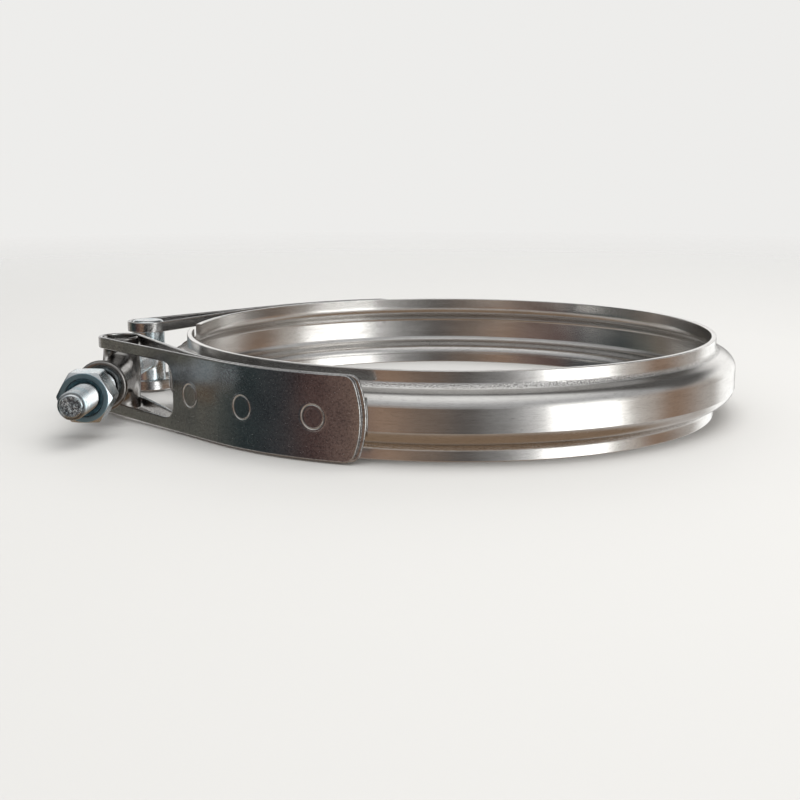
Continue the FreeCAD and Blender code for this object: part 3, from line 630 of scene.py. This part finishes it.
def window_outline(outset):
    """Returns the window's outline, this far outside its edge."""
    start, end = window_span()
    low, high = start + WINDOW_CORNER, end - WINDOW_CORNER
    height = WINDOW_HALF - WINDOW_CORNER
    radius = WINDOW_CORNER + outset
    side = WINDOW_HALF + outset
    fine = POINT_SPACING / 2
    outline = arc_points((low, height), radius, RIGHT_ANGLE, math.pi, fine)
    outline += line_points((start - outset, height), (start - outset, -height), POINT_SPACING)
    outline += arc_points((low, -height), radius, math.pi, math.pi + RIGHT_ANGLE, fine)
    outline += line_points((low, -side), (high, -side), POINT_SPACING)
    outline += arc_points((high, -height), radius, -RIGHT_ANGLE, 0, fine)
    outline += line_points((end + outset, -height), (end + outset, height), POINT_SPACING)
    outline += arc_points((high, height), radius, 0, RIGHT_ANGLE, fine)
    outline += line_points((high, side), (low, side), POINT_SPACING)
    return outline


def within(points, outline):
    """Tells which points lie inside a closed outline."""
    x, y = points.T
    result = np.zeros(len(points), bool)
    for (x1, y1), (x2, y2) in zip(outline, outline[1:] + outline[:1]):
        if y1 != y2:
            crosses = (y1 > y) != (y2 > y)
            result ^= crosses & (x < (x2 - x1) * (y - y1) / (y2 - y1) + x1)
    return result


def weld_positions():
    """Returns the spot welds' distances along the strip."""
    return [ARC_LENGTH + WELD_START - number * WELD_PITCH for number in range(WELD_COUNT)]


def strip_pattern():
    """Lays out the flat strip's points and triangles, with dense lines at its edges and welds.

    A point's depth is its distance from the sheet's edge, or PAST_EDGE anywhere past the rounding.
    """
    points, edges, depths = [], [], []
    ring_spacing, fill_spacing, fill_margin = 0.32, (0.75, 0.8), 0.45

    def add_loop(loop, depth):
        first = len(points)
        points.extend(loop)
        depths.extend([depth] * len(loop))
        edges.extend((first + i, first + (i + 1) % len(loop)) for i in range(len(loop)))

    for inset in EDGE_INSETS:
        add_loop(strip_outline(inset), inset)
        add_loop(window_outline(inset), inset)
    for position in weld_positions():
        for radius in WELD_RINGS:
            add_loop(arc_points((position, 0), radius, 0, FULL_TURN, ring_spacing), PAST_EDGE)
    columns = np.arange(0.6, STRIP_LENGTH, fill_spacing[0])
    rows = np.arange(-11.2, 11.3, fill_spacing[1])
    fill = np.stack(np.meshgrid(columns, rows), -1).reshape(-1, 2)
    margin = STRAP_ROUND + fill_margin
    keep = within(fill, strip_outline(margin)) & ~within(fill, window_outline(margin))
    for position in weld_positions():
        keep &= np.hypot(fill[:, 0] - position, fill[:, 1]) > WELD_RINGS[-1] + 0.4
    points.extend(map(tuple, fill[keep]))
    depths.extend([PAST_EDGE] * int(keep.sum()))
    flat, _, faces, *_ = delaunay_2d_cdt([Vector(point) for point in points], edges, [], 0, 1e-7)
    flat = np.array(flat)
    faces = np.array(faces)
    middles = flat[faces].mean(1)
    solid = within(middles, strip_outline(0)) & ~within(middles, window_outline(0))
    faces = faces[solid]
    return flat, np.array(depths), faces


def weld_ridge(distance, outside, width):
    """Returns a ridge of height 1 that runs round a weld, this far outside its ring."""
    return np.exp(-((distance - WELD_RADIUS - outside) / width) ** 2)


def weld_relief(flat):
    """Returns the spot welds' relief, heat tint and ring marks on the strip's face."""
    groove_depth, lip_height, disc_depth, disc_radius = 0.16, 0.07, 0.03, 2.15
    tint_reach, tint_centre, tint_fade, cooler = 1.4, (-3.2, -0.8), 2.4, 0.42
    height = np.zeros(len(flat))
    heat = np.zeros(len(flat))
    mark = np.zeros(len(flat))
    for number, position in enumerate(weld_positions()):
        distance = np.hypot(flat[:, 0] - position, flat[:, 1])
        height -= groove_depth * weld_ridge(distance, 0, 0.13)
        height += lip_height * weld_ridge(distance, 0.32, 0.14)
        height -= disc_depth * (1 - smooth_step((distance - disc_radius) / 0.3))
        mark = np.maximum(mark, 0.85 * weld_ridge(distance, 0.1, 0.15))
        beside = np.hypot(flat[:, 0] - position - tint_centre[0], 0.45 * (flat[:, 1] - tint_centre[1]))
        tint = 1 - smooth_step((beside - tint_reach) / tint_fade)
        heat = np.maximum(heat, tint * (1.0 - cooler * number))
    return height, heat, mark


def loop_strap(name, side, pattern):
    """Folds the flat strip round the loop: side is -1 for the front strap and +1 for the back one.

    Each face of each strap reads its own part of the materials' noise.
    """
    flat, depths, faces = pattern
    middle, outward = strip_position(flat[:, 0])
    dip = np.clip(STRAP_ROUND - depths, 0, STRAP_ROUND)
    half = STRAP_SHEET / 2 - STRAP_ROUND + np.sqrt(STRAP_ROUND ** 2 - dip ** 2)
    relief, heat, mark = weld_relief(flat)
    top = middle + outward * (half + relief)[:, None]
    bottom = middle - outward * half[:, None]
    heights = flat[:, 1:]
    points = np.vstack([np.hstack([top, heights]), np.hstack([bottom, heights])])
    points[:, 1] *= side
    count = len(flat)
    sheet = np.vstack([faces, faces[:, ::-1] + count])
    directed = np.vstack([faces[:, [0, 1]], faces[:, [1, 2]], faces[:, [2, 0]]]).tolist()
    backward = {(b, a) for a, b in directed}
    rim = [(a, b) for a, b in directed if (a, b) not in backward]
    walls = [(b, a, a + count, b + count) for a, b in rim]
    spot = np.hstack([flat, np.full((count, 1), side * PATTERN_APART)])
    attributes = {"flat": np.vstack([spot, spot + PATTERN_BELOW]),
                  "heat": np.concatenate([heat, heat * 0.3]),
                  "mark": np.concatenate([mark, np.zeros(count)])}
    return make_piece(name, points, sheet.tolist() + walls, STEEL["strap"], attributes)


# Trunnion ------------------------------------------------------------------------------------

BARREL_RADIUS = 5.3
BARREL_HALF = 11.2
DRAWN_SHEET = 1.2
NECK_RADIUS = 5.7
NECK_BORE = 4.5
COLLAR_REACH = 24.5
COLLAR_RADIUS = 7.4
COLLAR_LIP = 1.1
TAPER_LENGTH = 12.5
TAPER_TALLER = 3.4
TAPER_NARROWER = 0.45
FLARE = 1.3
FLARE_START = 17.5
FLARE_LENGTH = 5.5
DRAWN_EDGE = 0.5
NECK_FILLET = 2.0
LIP_FILLET = 0.9
SLOT_EDGE = 0.1
RIM_EDGE = 0.45


def trunnion_field(points):
    """Is negative inside the trunnion: a slotted barrel, a trumpet-like neck and a rolled collar."""
    x = points[:, 0] + LOOP_REACH
    forward = -(points[:, 1] + LOOP_SPREAD)
    z = points[:, 2]
    barrel = soft_max(np.hypot(x, forward) - BARREL_RADIUS, np.abs(z) - BARREL_HALF, DRAWN_EDGE)
    taper = 1 - smooth_step(forward / TAPER_LENGTH)
    tall = NECK_RADIUS + TAPER_TALLER * taper ** 1.6
    wide = NECK_RADIUS - TAPER_NARROWER * taper
    flare = FLARE * smooth_step((forward - FLARE_START) / FLARE_LENGTH)
    reach = np.hypot(x / (wide + flare), z / (tall + flare))
    neck = (reach - 1) * NECK_RADIUS
    neck = soft_max(neck, forward - (COLLAR_REACH - DRAWN_EDGE), DRAWN_EDGE)
    neck = soft_max(neck, -forward, 0.2)
    radius = np.hypot(x, z)
    lip = np.hypot(radius - COLLAR_RADIUS + COLLAR_LIP, forward - COLLAR_REACH + COLLAR_LIP) - COLLAR_LIP
    outside = soft_min(soft_min(barrel, neck, NECK_FILLET), lip, LIP_FILLET)
    bore = soft_max(radius - NECK_BORE, -forward, SLOT_EDGE)
    hollow = np.hypot(x, forward) - (BARREL_RADIUS - DRAWN_SHEET)
    slot = soft_max(np.abs(x) - NECK_BORE, forward, SLOT_EDGE)
    empty = np.minimum(soft_min(bore, hollow, DRAWN_EDGE), slot)
    return soft_max(outside, -empty, RIM_EDGE)


def trunnion():
    """Makes the drawn trunnion."""
    aside, margin, step = 8.2, 0.8, 0.31
    low = (-LOOP_REACH - aside, -LOOP_SPREAD - COLLAR_REACH - margin, -BARREL_HALF - margin)
    high = (-LOOP_REACH + aside, -LOOP_SPREAD + BARREL_RADIUS + margin, BARREL_HALF + margin)
    points, faces = field_surface(trunnion_field, low, high, step)
    return make_piece("drawn_trunnion", points, faces, STEEL["trunnion"], {"flat": points})


# T-bolt --------------------------------------------------------------------------------------

STUD_RADIUS = 4.0
THREAD_ROOT = 3.36
THREAD_PITCH = 1.25
THREAD_START = -28.0
STUD_END = -73.0
STUD_CHAMFER = 0.9
HEAD_RADIUS = 5.3
HEAD_HALF = 11.7
HEAD_CHAMFER = 0.8
HEAD_FILLET = 0.9
END_DISH = 0.12
TURN_POINTS = 44
# The ridge's section: height above the thread's root, and shift along the bolt.
THREAD_OUTLINE = [(-0.18, -0.52), (0.0, -0.46), (0.58, -0.12), (0.64, -0.06),
                  (0.64, 0.06), (0.58, 0.12), (0.0, 0.46), (-0.18, 0.52)]


def bolt_blank_field(points):
    """Is negative inside the bolt's blank: the T-head and the plain shank, joined by a fillet."""
    x = points[:, 0] + LOOP_REACH
    y = points[:, 1]
    z = points[:, 2]
    side = np.hypot(x, y - LOOP_SPREAD) - HEAD_RADIUS
    end = np.abs(z) - HEAD_HALF
    head = soft_max(soft_max(side, end, 0.2), (side + end + HEAD_CHAMFER) / math.sqrt(2), 0.25)
    ends = np.maximum(THREAD_START - 0.5 - y, y - LOOP_SPREAD)
    shank = soft_max(np.hypot(x, z) - STUD_RADIUS, ends, 0.4)
    return soft_min(head, shank, HEAD_FILLET)


def lathe(profile, columns, closed=False):
    """Turns (radius, y) points round the bolt's axis, and caps the ends unless the profile is closed."""
    radius, depth = np.array(profile).T
    angles = np.arange(columns) * FULL_TURN / columns
    points = np.stack([-LOOP_REACH + np.outer(radius, np.cos(angles)),
                       np.tile(depth[:, None], (1, columns)),
                       np.outer(radius, np.sin(angles))], -1).reshape(-1, 3)
    faces = grid_faces(len(radius), columns, closed)
    if not closed:
        faces.append(list(range(columns)))
        faces.append(list(range((len(radius) - 1) * columns, len(radius) * columns)))
    return points, faces


def stud_core():
    """Returns the threaded end's core: its lead-in chamfer and its dished, sheared end face."""
    end = STUD_END
    tip = STUD_RADIUS - STUD_CHAMFER
    dish = tip - 0.3
    profile = [(radius, end + END_DISH * (1 - (radius / dish) ** 2))
               for radius in np.linspace(0.02, dish, 9)]
    profile += [(tip - 0.15, end + 0.01), (tip, end + 0.08), (tip + 0.1, end + 0.25)]
    profile.append((THREAD_ROOT, end + 0.42))
    profile += [(THREAD_ROOT, depth) for depth in np.linspace(end + 1, THREAD_START - 0.6, 12)]
    profile += [(STUD_RADIUS - 0.2, THREAD_START + 0.2), (STUD_RADIUS - 0.3, THREAD_START + 1)]
    points, faces = lathe(profile, 64)
    sheared = 1 - smooth_step((np.hypot(points[:, 0] + LOOP_REACH, points[:, 2]) - tip + 0.4) / 0.3)
    sheared *= points[:, 1] < end + 0.3
    return points, faces, sheared


def thread_ridge():
    """Returns the helical thread ridge, tapering out at both ends."""
    turns = (THREAD_START - STUD_END - 0.5) / THREAD_PITCH
    count = int(turns * TURN_POINTS)
    turn = np.arange(count + 1) / TURN_POINTS
    depth = STUD_END + 0.45 + turn * THREAD_PITCH
    taper = smooth_step(turn / 0.35) * smooth_step((turn[-1] - turn) / 0.8)
    rise, shift = np.array(THREAD_OUTLINE).T
    level = depth[:, None] + shift[None, :]
    limit = STUD_RADIUS - STUD_CHAMFER + (level - STUD_END)
    radius = THREAD_ROOT + np.where(rise > 0, rise * taper[:, None], rise[None, :])
    radius = np.minimum(radius, np.maximum(limit, THREAD_ROOT + rise[0]))
    angle = (-FULL_TURN * turn)[:, None]
    points = np.stack([-LOOP_REACH + radius * np.cos(angle), level, radius * np.sin(angle)], -1)
    faces = grid_faces(count + 1, len(rise))
    last = count * len(rise)
    faces.append(list(range(len(rise))))
    faces.append([last + corner for corner in range(len(rise))])
    return points.reshape(-1, 3), faces


def t_bolt():
    """Makes the T-bolt: its blank, its core and its thread in one object."""
    aside, margin, step = 6.2, 0.8, 0.4
    low = (-LOOP_REACH - aside, THREAD_START - 1.5, -HEAD_HALF - margin)
    high = (-LOOP_REACH + aside, LOOP_SPREAD + HEAD_RADIUS + margin, HEAD_HALF + margin)
    blank, blank_faces = field_surface(bolt_blank_field, low, high, step)
    core, core_faces, sheared = stud_core()
    ridge, ridge_faces = thread_ridge()
    points = np.vstack([blank, core, ridge])
    faces = blank_faces
    faces += [[corner + len(blank) for corner in face] for face in core_faces]
    faces += [[corner + len(blank) + len(core) for corner in face] for face in ridge_faces]
    end_mask = np.concatenate([np.zeros(len(blank)), sheared, np.zeros(len(ridge))])
    # Painted shade for the thread's ridge: 1 at its root, fading out before its crest.
    above_root = np.hypot(ridge[:, 0] + LOOP_REACH, ridge[:, 2]) - THREAD_ROOT
    root_shade = np.concatenate([np.zeros(len(blank) + len(core)), 1 - smooth_step((above_root - 0.14) / 0.45)])
    return make_piece("threaded_t_bolt", points, faces, STEEL["zinc"],
                      {"flat": points, "sheared": end_mask, "dull": np.zeros(len(points)), "root_shade": root_shade})


# Nut and insert ------------------------------------------------------------------------------

NUT_FRONT = -60.6
NUT_HEIGHT = 8.0
NUT_COLUMNS = 360
NUT_SHARP = math.radians(50)
NUT_CHAMFER = math.radians(60)
NUT_FLAT = 7.0
NUT_FACE = 6.7
NUT_BORE = 4.05
RECESS_RADIUS = 5.4
RECESS_DEPTH = 2.6
INSERT_HEIGHT = 2.0


def hex_nut():
    """Makes the hexagon nut: chamfered corners, dished faces, a bore and the insert's recess."""
    angles = np.arange(NUT_COLUMNS) * FULL_TURN / NUT_COLUMNS
    half_side = math.pi / 6
    from_flat = (angles + half_side) % (2 * half_side) - half_side
    hexagon = NUT_FLAT / np.cos(np.minimum(np.abs(from_flat), half_side))
    hexagon = soft_min(hexagon, NUT_FLAT / math.cos(half_side) - 0.12, 0.2)
    hexagon = np.roll(hexagon, NUT_COLUMNS // 12)
    near = np.concatenate([np.linspace(0.0, 0.95, 17), [1.3]])
    depths = np.concatenate([near, np.linspace(2, 6, 5), NUT_HEIGHT - near[::-1]])
    cone = NUT_FACE + math.tan(NUT_CHAMFER) * np.minimum(depths, NUT_HEIGHT - depths)
    sides = soft_min(hexagon[None, :], cone[:, None], 0.10)
    inner = [(NUT_BORE, NUT_HEIGHT - 0.4), (NUT_BORE, RECESS_DEPTH + 0.1), (NUT_BORE + 0.1, RECESS_DEPTH),
             (RECESS_RADIUS - 0.1, RECESS_DEPTH), (RECESS_RADIUS, RECESS_DEPTH - 0.1), (RECESS_RADIUS, 0.3),
             (RECESS_RADIUS + 0.05, 0.12), (RECESS_RADIUS + 0.16, 0.03), (RECESS_RADIUS + 0.3, 0.0),
             (6.1, 0.0), (NUT_FACE - 0.2, 0.0)]
    outer = [(NUT_FACE - 0.2, NUT_HEIGHT), (5.5, NUT_HEIGHT), (NUT_BORE + 0.5, NUT_HEIGHT)]
    rows = [*inner, *zip(sides, depths), *outer]
    points = np.vstack([np.stack([-LOOP_REACH + radius * np.cos(angles),
                                  np.full(NUT_COLUMNS, NUT_FRONT + depth),
                                  radius * np.sin(angles)], -1) for radius, depth in rows])
    faces = grid_faces(len(rows), NUT_COLUMNS, closed=True)
    reach = np.hypot(points[:, 0] + LOOP_REACH, points[:, 2])
    on_face = (points[:, 1] < NUT_FRONT + 0.1) & (reach > RECESS_RADIUS + 0.1) & (reach < NUT_FACE + 0.2)
    none = np.zeros(len(points))
    piece = make_piece("hex_lock_nut", points, faces, STEEL["zinc"],
                       {"flat": points, "sheared": none, "dull": on_face.astype(float), "root_shade": none})
    piece.data.set_sharp_from_angle(angle=NUT_SHARP)
    return piece


def insert_ring():
    """Makes the locking insert: a ring with a dished, rounded outer face."""
    seat = NUT_FRONT + RECESS_DEPTH
    top = seat - INSERT_HEIGHT
    outside = RECESS_RADIUS - 0.03
    profile = [(NUT_BORE, seat), (NUT_BORE, top + 0.75), (NUT_BORE + 0.06, top + 0.58),
               (NUT_BORE + 0.22, top + 0.46), (NUT_BORE + 0.6, top + 0.26),
               (RECESS_RADIUS - 0.35, top + 0.06), (RECESS_RADIUS - 0.14, top),
               (RECESS_RADIUS - 0.05, top + 0.06), (outside, top + 0.2), (outside, seat)]
    points, faces = lathe(profile, 96, closed=True)
    return make_piece("locking_ring", points, faces, STEEL["insert"], {"flat": points})


# Build the pieces ----------------------------------------------------------------------------

STEEL = {
    "ring": ring_steel(),
    "strap": strap_steel(),
    "trunnion": trunnion_steel(),
    "zinc": zinc_plate(),
    "insert": insert_plastic(),
}


def put(piece, body, node):
    """Makes a piece ride its body in place of its CAD node."""
    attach(piece, body)
    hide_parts(node)


ring()
strip = strip_pattern()
put(loop_strap("trunnion_strap", -1, strip), "front_half", "trunnion_loop_strap")
put(loop_strap("t_bolt_strap", 1, strip), "back_half", "t_bolt_loop_strap")
put(trunnion(), "trunnion_body", "trunnion")
put(t_bolt(), "t_bolt_body", "t_bolt")
put(hex_nut(), "nut_body", "lock_nut")
put(insert_ring(), "nut_carrier", "lock_nut_insert")


# Floor, light and camera ---------------------------------------------------------------------


def pale_floor():
    """Lays a plain pale floor that fades into the background."""
    radius = 1.6
    count = 96
    angles = np.arange(count) * FULL_TURN / count
    mesh = bpy.data.meshes.new("floor")
    points = [(radius * math.cos(a), radius * math.sin(a), -RING_HALF_WIDTH * MM) for a in angles]
    mesh.from_pydata(points, [], [list(range(count))])
    floor = bpy.data.objects.new("floor", mesh)
    bpy.context.scene.collection.objects.link(floor)
    material, tree, shader = new_material("floor", metallic=0.0)
    shader.inputs["Base Color"].default_value = (0.53, 0.527, 0.52, 1)
    shader.inputs["Roughness"].default_value = 0.7
    place = tree.nodes.new("ShaderNodeNewGeometry").outputs["Position"]
    length = tree.nodes.new("ShaderNodeVectorMath")
    length.operation = "LENGTH"
    feed(tree, length.inputs[0], place)
    fade = spread(tree, length.outputs["Value"], 0.2, 0.9)
    clear = tree.nodes.new("ShaderNodeBsdfTransparent")
    mix = tree.nodes.new("ShaderNodeMixShader")
    feed(tree, mix.inputs[0], fade)
    feed(tree, mix.inputs[1], shader.outputs["BSDF"])
    feed(tree, mix.inputs[2], clear.outputs["BSDF"])
    feed(tree, tree.nodes["Material Output"].inputs["Surface"], mix.outputs["Shader"])
    mesh.materials.append(material)
    floor.visible_glossy = False


def soft_light(name, place, target, size, power, colour):
    """Adds a rectangular soft box that faces a point and that the metal doesn't mirror."""
    data = bpy.data.lights.new(name, "AREA")
    data.shape = "RECTANGLE"
    data.size, data.size_y = size
    data.energy = power
    data.color = colour
    lamp = bpy.data.objects.new(name, data)
    lamp.location = place
    direction = Vector(target) - Vector(place)
    lamp.rotation_euler = direction.to_track_quat("-Z", "Y").to_euler()
    lamp.visible_glossy = False
    bpy.context.scene.collection.objects.link(lamp)


# What the metal mirrors, by direction: degrees from the front towards the right, and a colour.
SURROUNDINGS = [
    (-180, (0.30, 0.29, 0.28)), (-166, (0.12, 0.12, 0.12)), (-150, (0.16, 0.15, 0.14)),
    (-136, (0.75, 0.74, 0.72)), (-122, (0.42, 0.40, 0.37)), (-108, (0.18, 0.16, 0.13)),
    (-98, (0.10, 0.11, 0.10)), (-84, (0.03, 0.045, 0.048)), (-66, (0.05, 0.055, 0.06)),
    (-52, (0.10, 0.055, 0.05)), (-38, (0.20, 0.13, 0.11)), (-26, (0.32, 0.21, 0.145)),
    (-8, (0.18, 0.13, 0.10)), (6, (0.10, 0.09, 0.085)), (20, (0.26, 0.26, 0.26)),
    (34, (0.75, 0.75, 0.75)), (42, (2.4, 2.4, 2.36)), (64, (2.4, 2.4, 2.36)),
    (76, (0.65, 0.62, 0.58)), (96, (0.30, 0.20, 0.14)), (124, (0.50, 0.47, 0.44)),
    (138, (1.30, 1.30, 1.28)), (152, (1.30, 1.30, 1.28)), (164, (0.35, 0.34, 0.33)),
    (180, (0.30, 0.29, 0.28)),
]


def mirrored_room(tree):
    """Returns the colour of the room that the metal mirrors.

    The screens of SURROUNDINGS stand all round it. Below them are a light band and a warm floor.
    Above them is a bright ceiling, dark towards the back, with a light strip under its dark part.
    """
    parts = tree.nodes.new("ShaderNodeSeparateXYZ")
    feed(tree, parts.inputs["Vector"], tree.nodes.new("ShaderNodeTexCoord").outputs["Generated"])
    height = parts.outputs["Z"]
    front = maths(tree, "MULTIPLY", parts.outputs["Y"], -1.0)
    azimuth = maths(tree, "ARCTAN2", parts.outputs["X"], front)
    ramp = tree.nodes.new("ShaderNodeValToRGB")
    ramp.color_ramp.interpolation = "EASE"
    stops = ramp.color_ramp.elements
    while len(stops) < len(SURROUNDINGS):
        stops.new(0.5)
    for stop, (degrees, colour) in zip(stops, SURROUNDINGS):
        stop.position = (degrees + 180) / 360
        stop.color = (*colour, 1)
    feed(tree, ramp.inputs["Fac"], spread(tree, azimuth, -math.pi, math.pi))
    band = spread(tree, height, -0.46, -0.36)
    level = blend_colour(tree, band, (0.55, 0.52, 0.49), ramp.outputs["Color"])
    low = blend_colour(tree, spread(tree, height, -0.75, -0.58), (0.26, 0.18, 0.12), level)
    behind = maths(tree, "MULTIPLY", spread(tree, front, -0.6, -0.85), spread(tree, height, 0.04, 0.14))
    high = blend_colour(tree, behind, low, (1.15, 1.14, 1.12))
    sky = blend_colour(tree, spread(tree, height, 0.25, 0.55), high, (0.50, 0.505, 0.51))
    zenith = blend_colour(tree, spread(tree, height, 0.70, 0.95), sky, (1.0, 1.0, 0.99))
    canopy = maths(tree, "MULTIPLY", spread(tree, front, -0.12, -0.32), spread(tree, height, 0.30, 0.45))
    return blend_colour(tree, canopy, zenith, (0.10, 0.097, 0.094))


def studio():
    """Lights the scene with soft boxes and gives the metal a room to mirror."""
    soft_light("top_box", (0.15, -0.05, 0.75), (0, 0, 0), (0.9, 0.7), 6.0, (1.0, 0.99, 0.97))
    soft_light("right_box", (0.80, -0.50, 0.35), (0, 0, 0), (0.35, 0.8), 2.5, (1.0, 0.98, 0.95))
    soft_light("back_box", (0.0, 0.9, 0.5), (0, 0, 0), (1.2, 0.4), 2.0, (1.0, 1.0, 1.0))
    world = bpy.data.worlds.new("studio")
    bpy.context.scene.world = world
    world.use_nodes = True
    tree = world.node_tree
    tree.nodes.clear()
    path = tree.nodes.new("ShaderNodeLightPath")
    plain = tree.nodes.new("ShaderNodeBackground")
    plain.inputs["Color"].default_value = (0.85, 0.845, 0.83, 1)
    room = tree.nodes.new("ShaderNodeBackground")
    feed(tree, room.inputs["Color"], mirrored_room(tree))
    mix = tree.nodes.new("ShaderNodeMixShader")
    output = tree.nodes.new("ShaderNodeOutputWorld")
    feed(tree, mix.inputs[0], path.outputs["Is Glossy Ray"])
    feed(tree, mix.inputs[1], plain.outputs["Background"])
    feed(tree, mix.inputs[2], room.outputs["Background"])
    feed(tree, output.inputs["Surface"], mix.outputs["Shader"])
    bpy.context.scene.view_settings.view_transform = "Standard"


def camera():
    """Stands the camera in front of the clamp, a little above it."""
    data = bpy.data.cameras.new("camera")
    data.lens = 58.0
    data.sensor_width = 36.0
    data.clip_start, data.clip_end = 0.01, 20
    view = bpy.data.objects.new("camera", data)
    view.location = (0.0, -0.407, 0.067)
    target = Vector((-0.0135, -0.060, 0.0))
    view.rotation_euler = (target - view.location).to_track_quat("-Z", "Y").to_euler()
    bpy.context.scene.collection.objects.link(view)
    bpy.context.scene.camera = view


pale_floor()
studio()
camera()
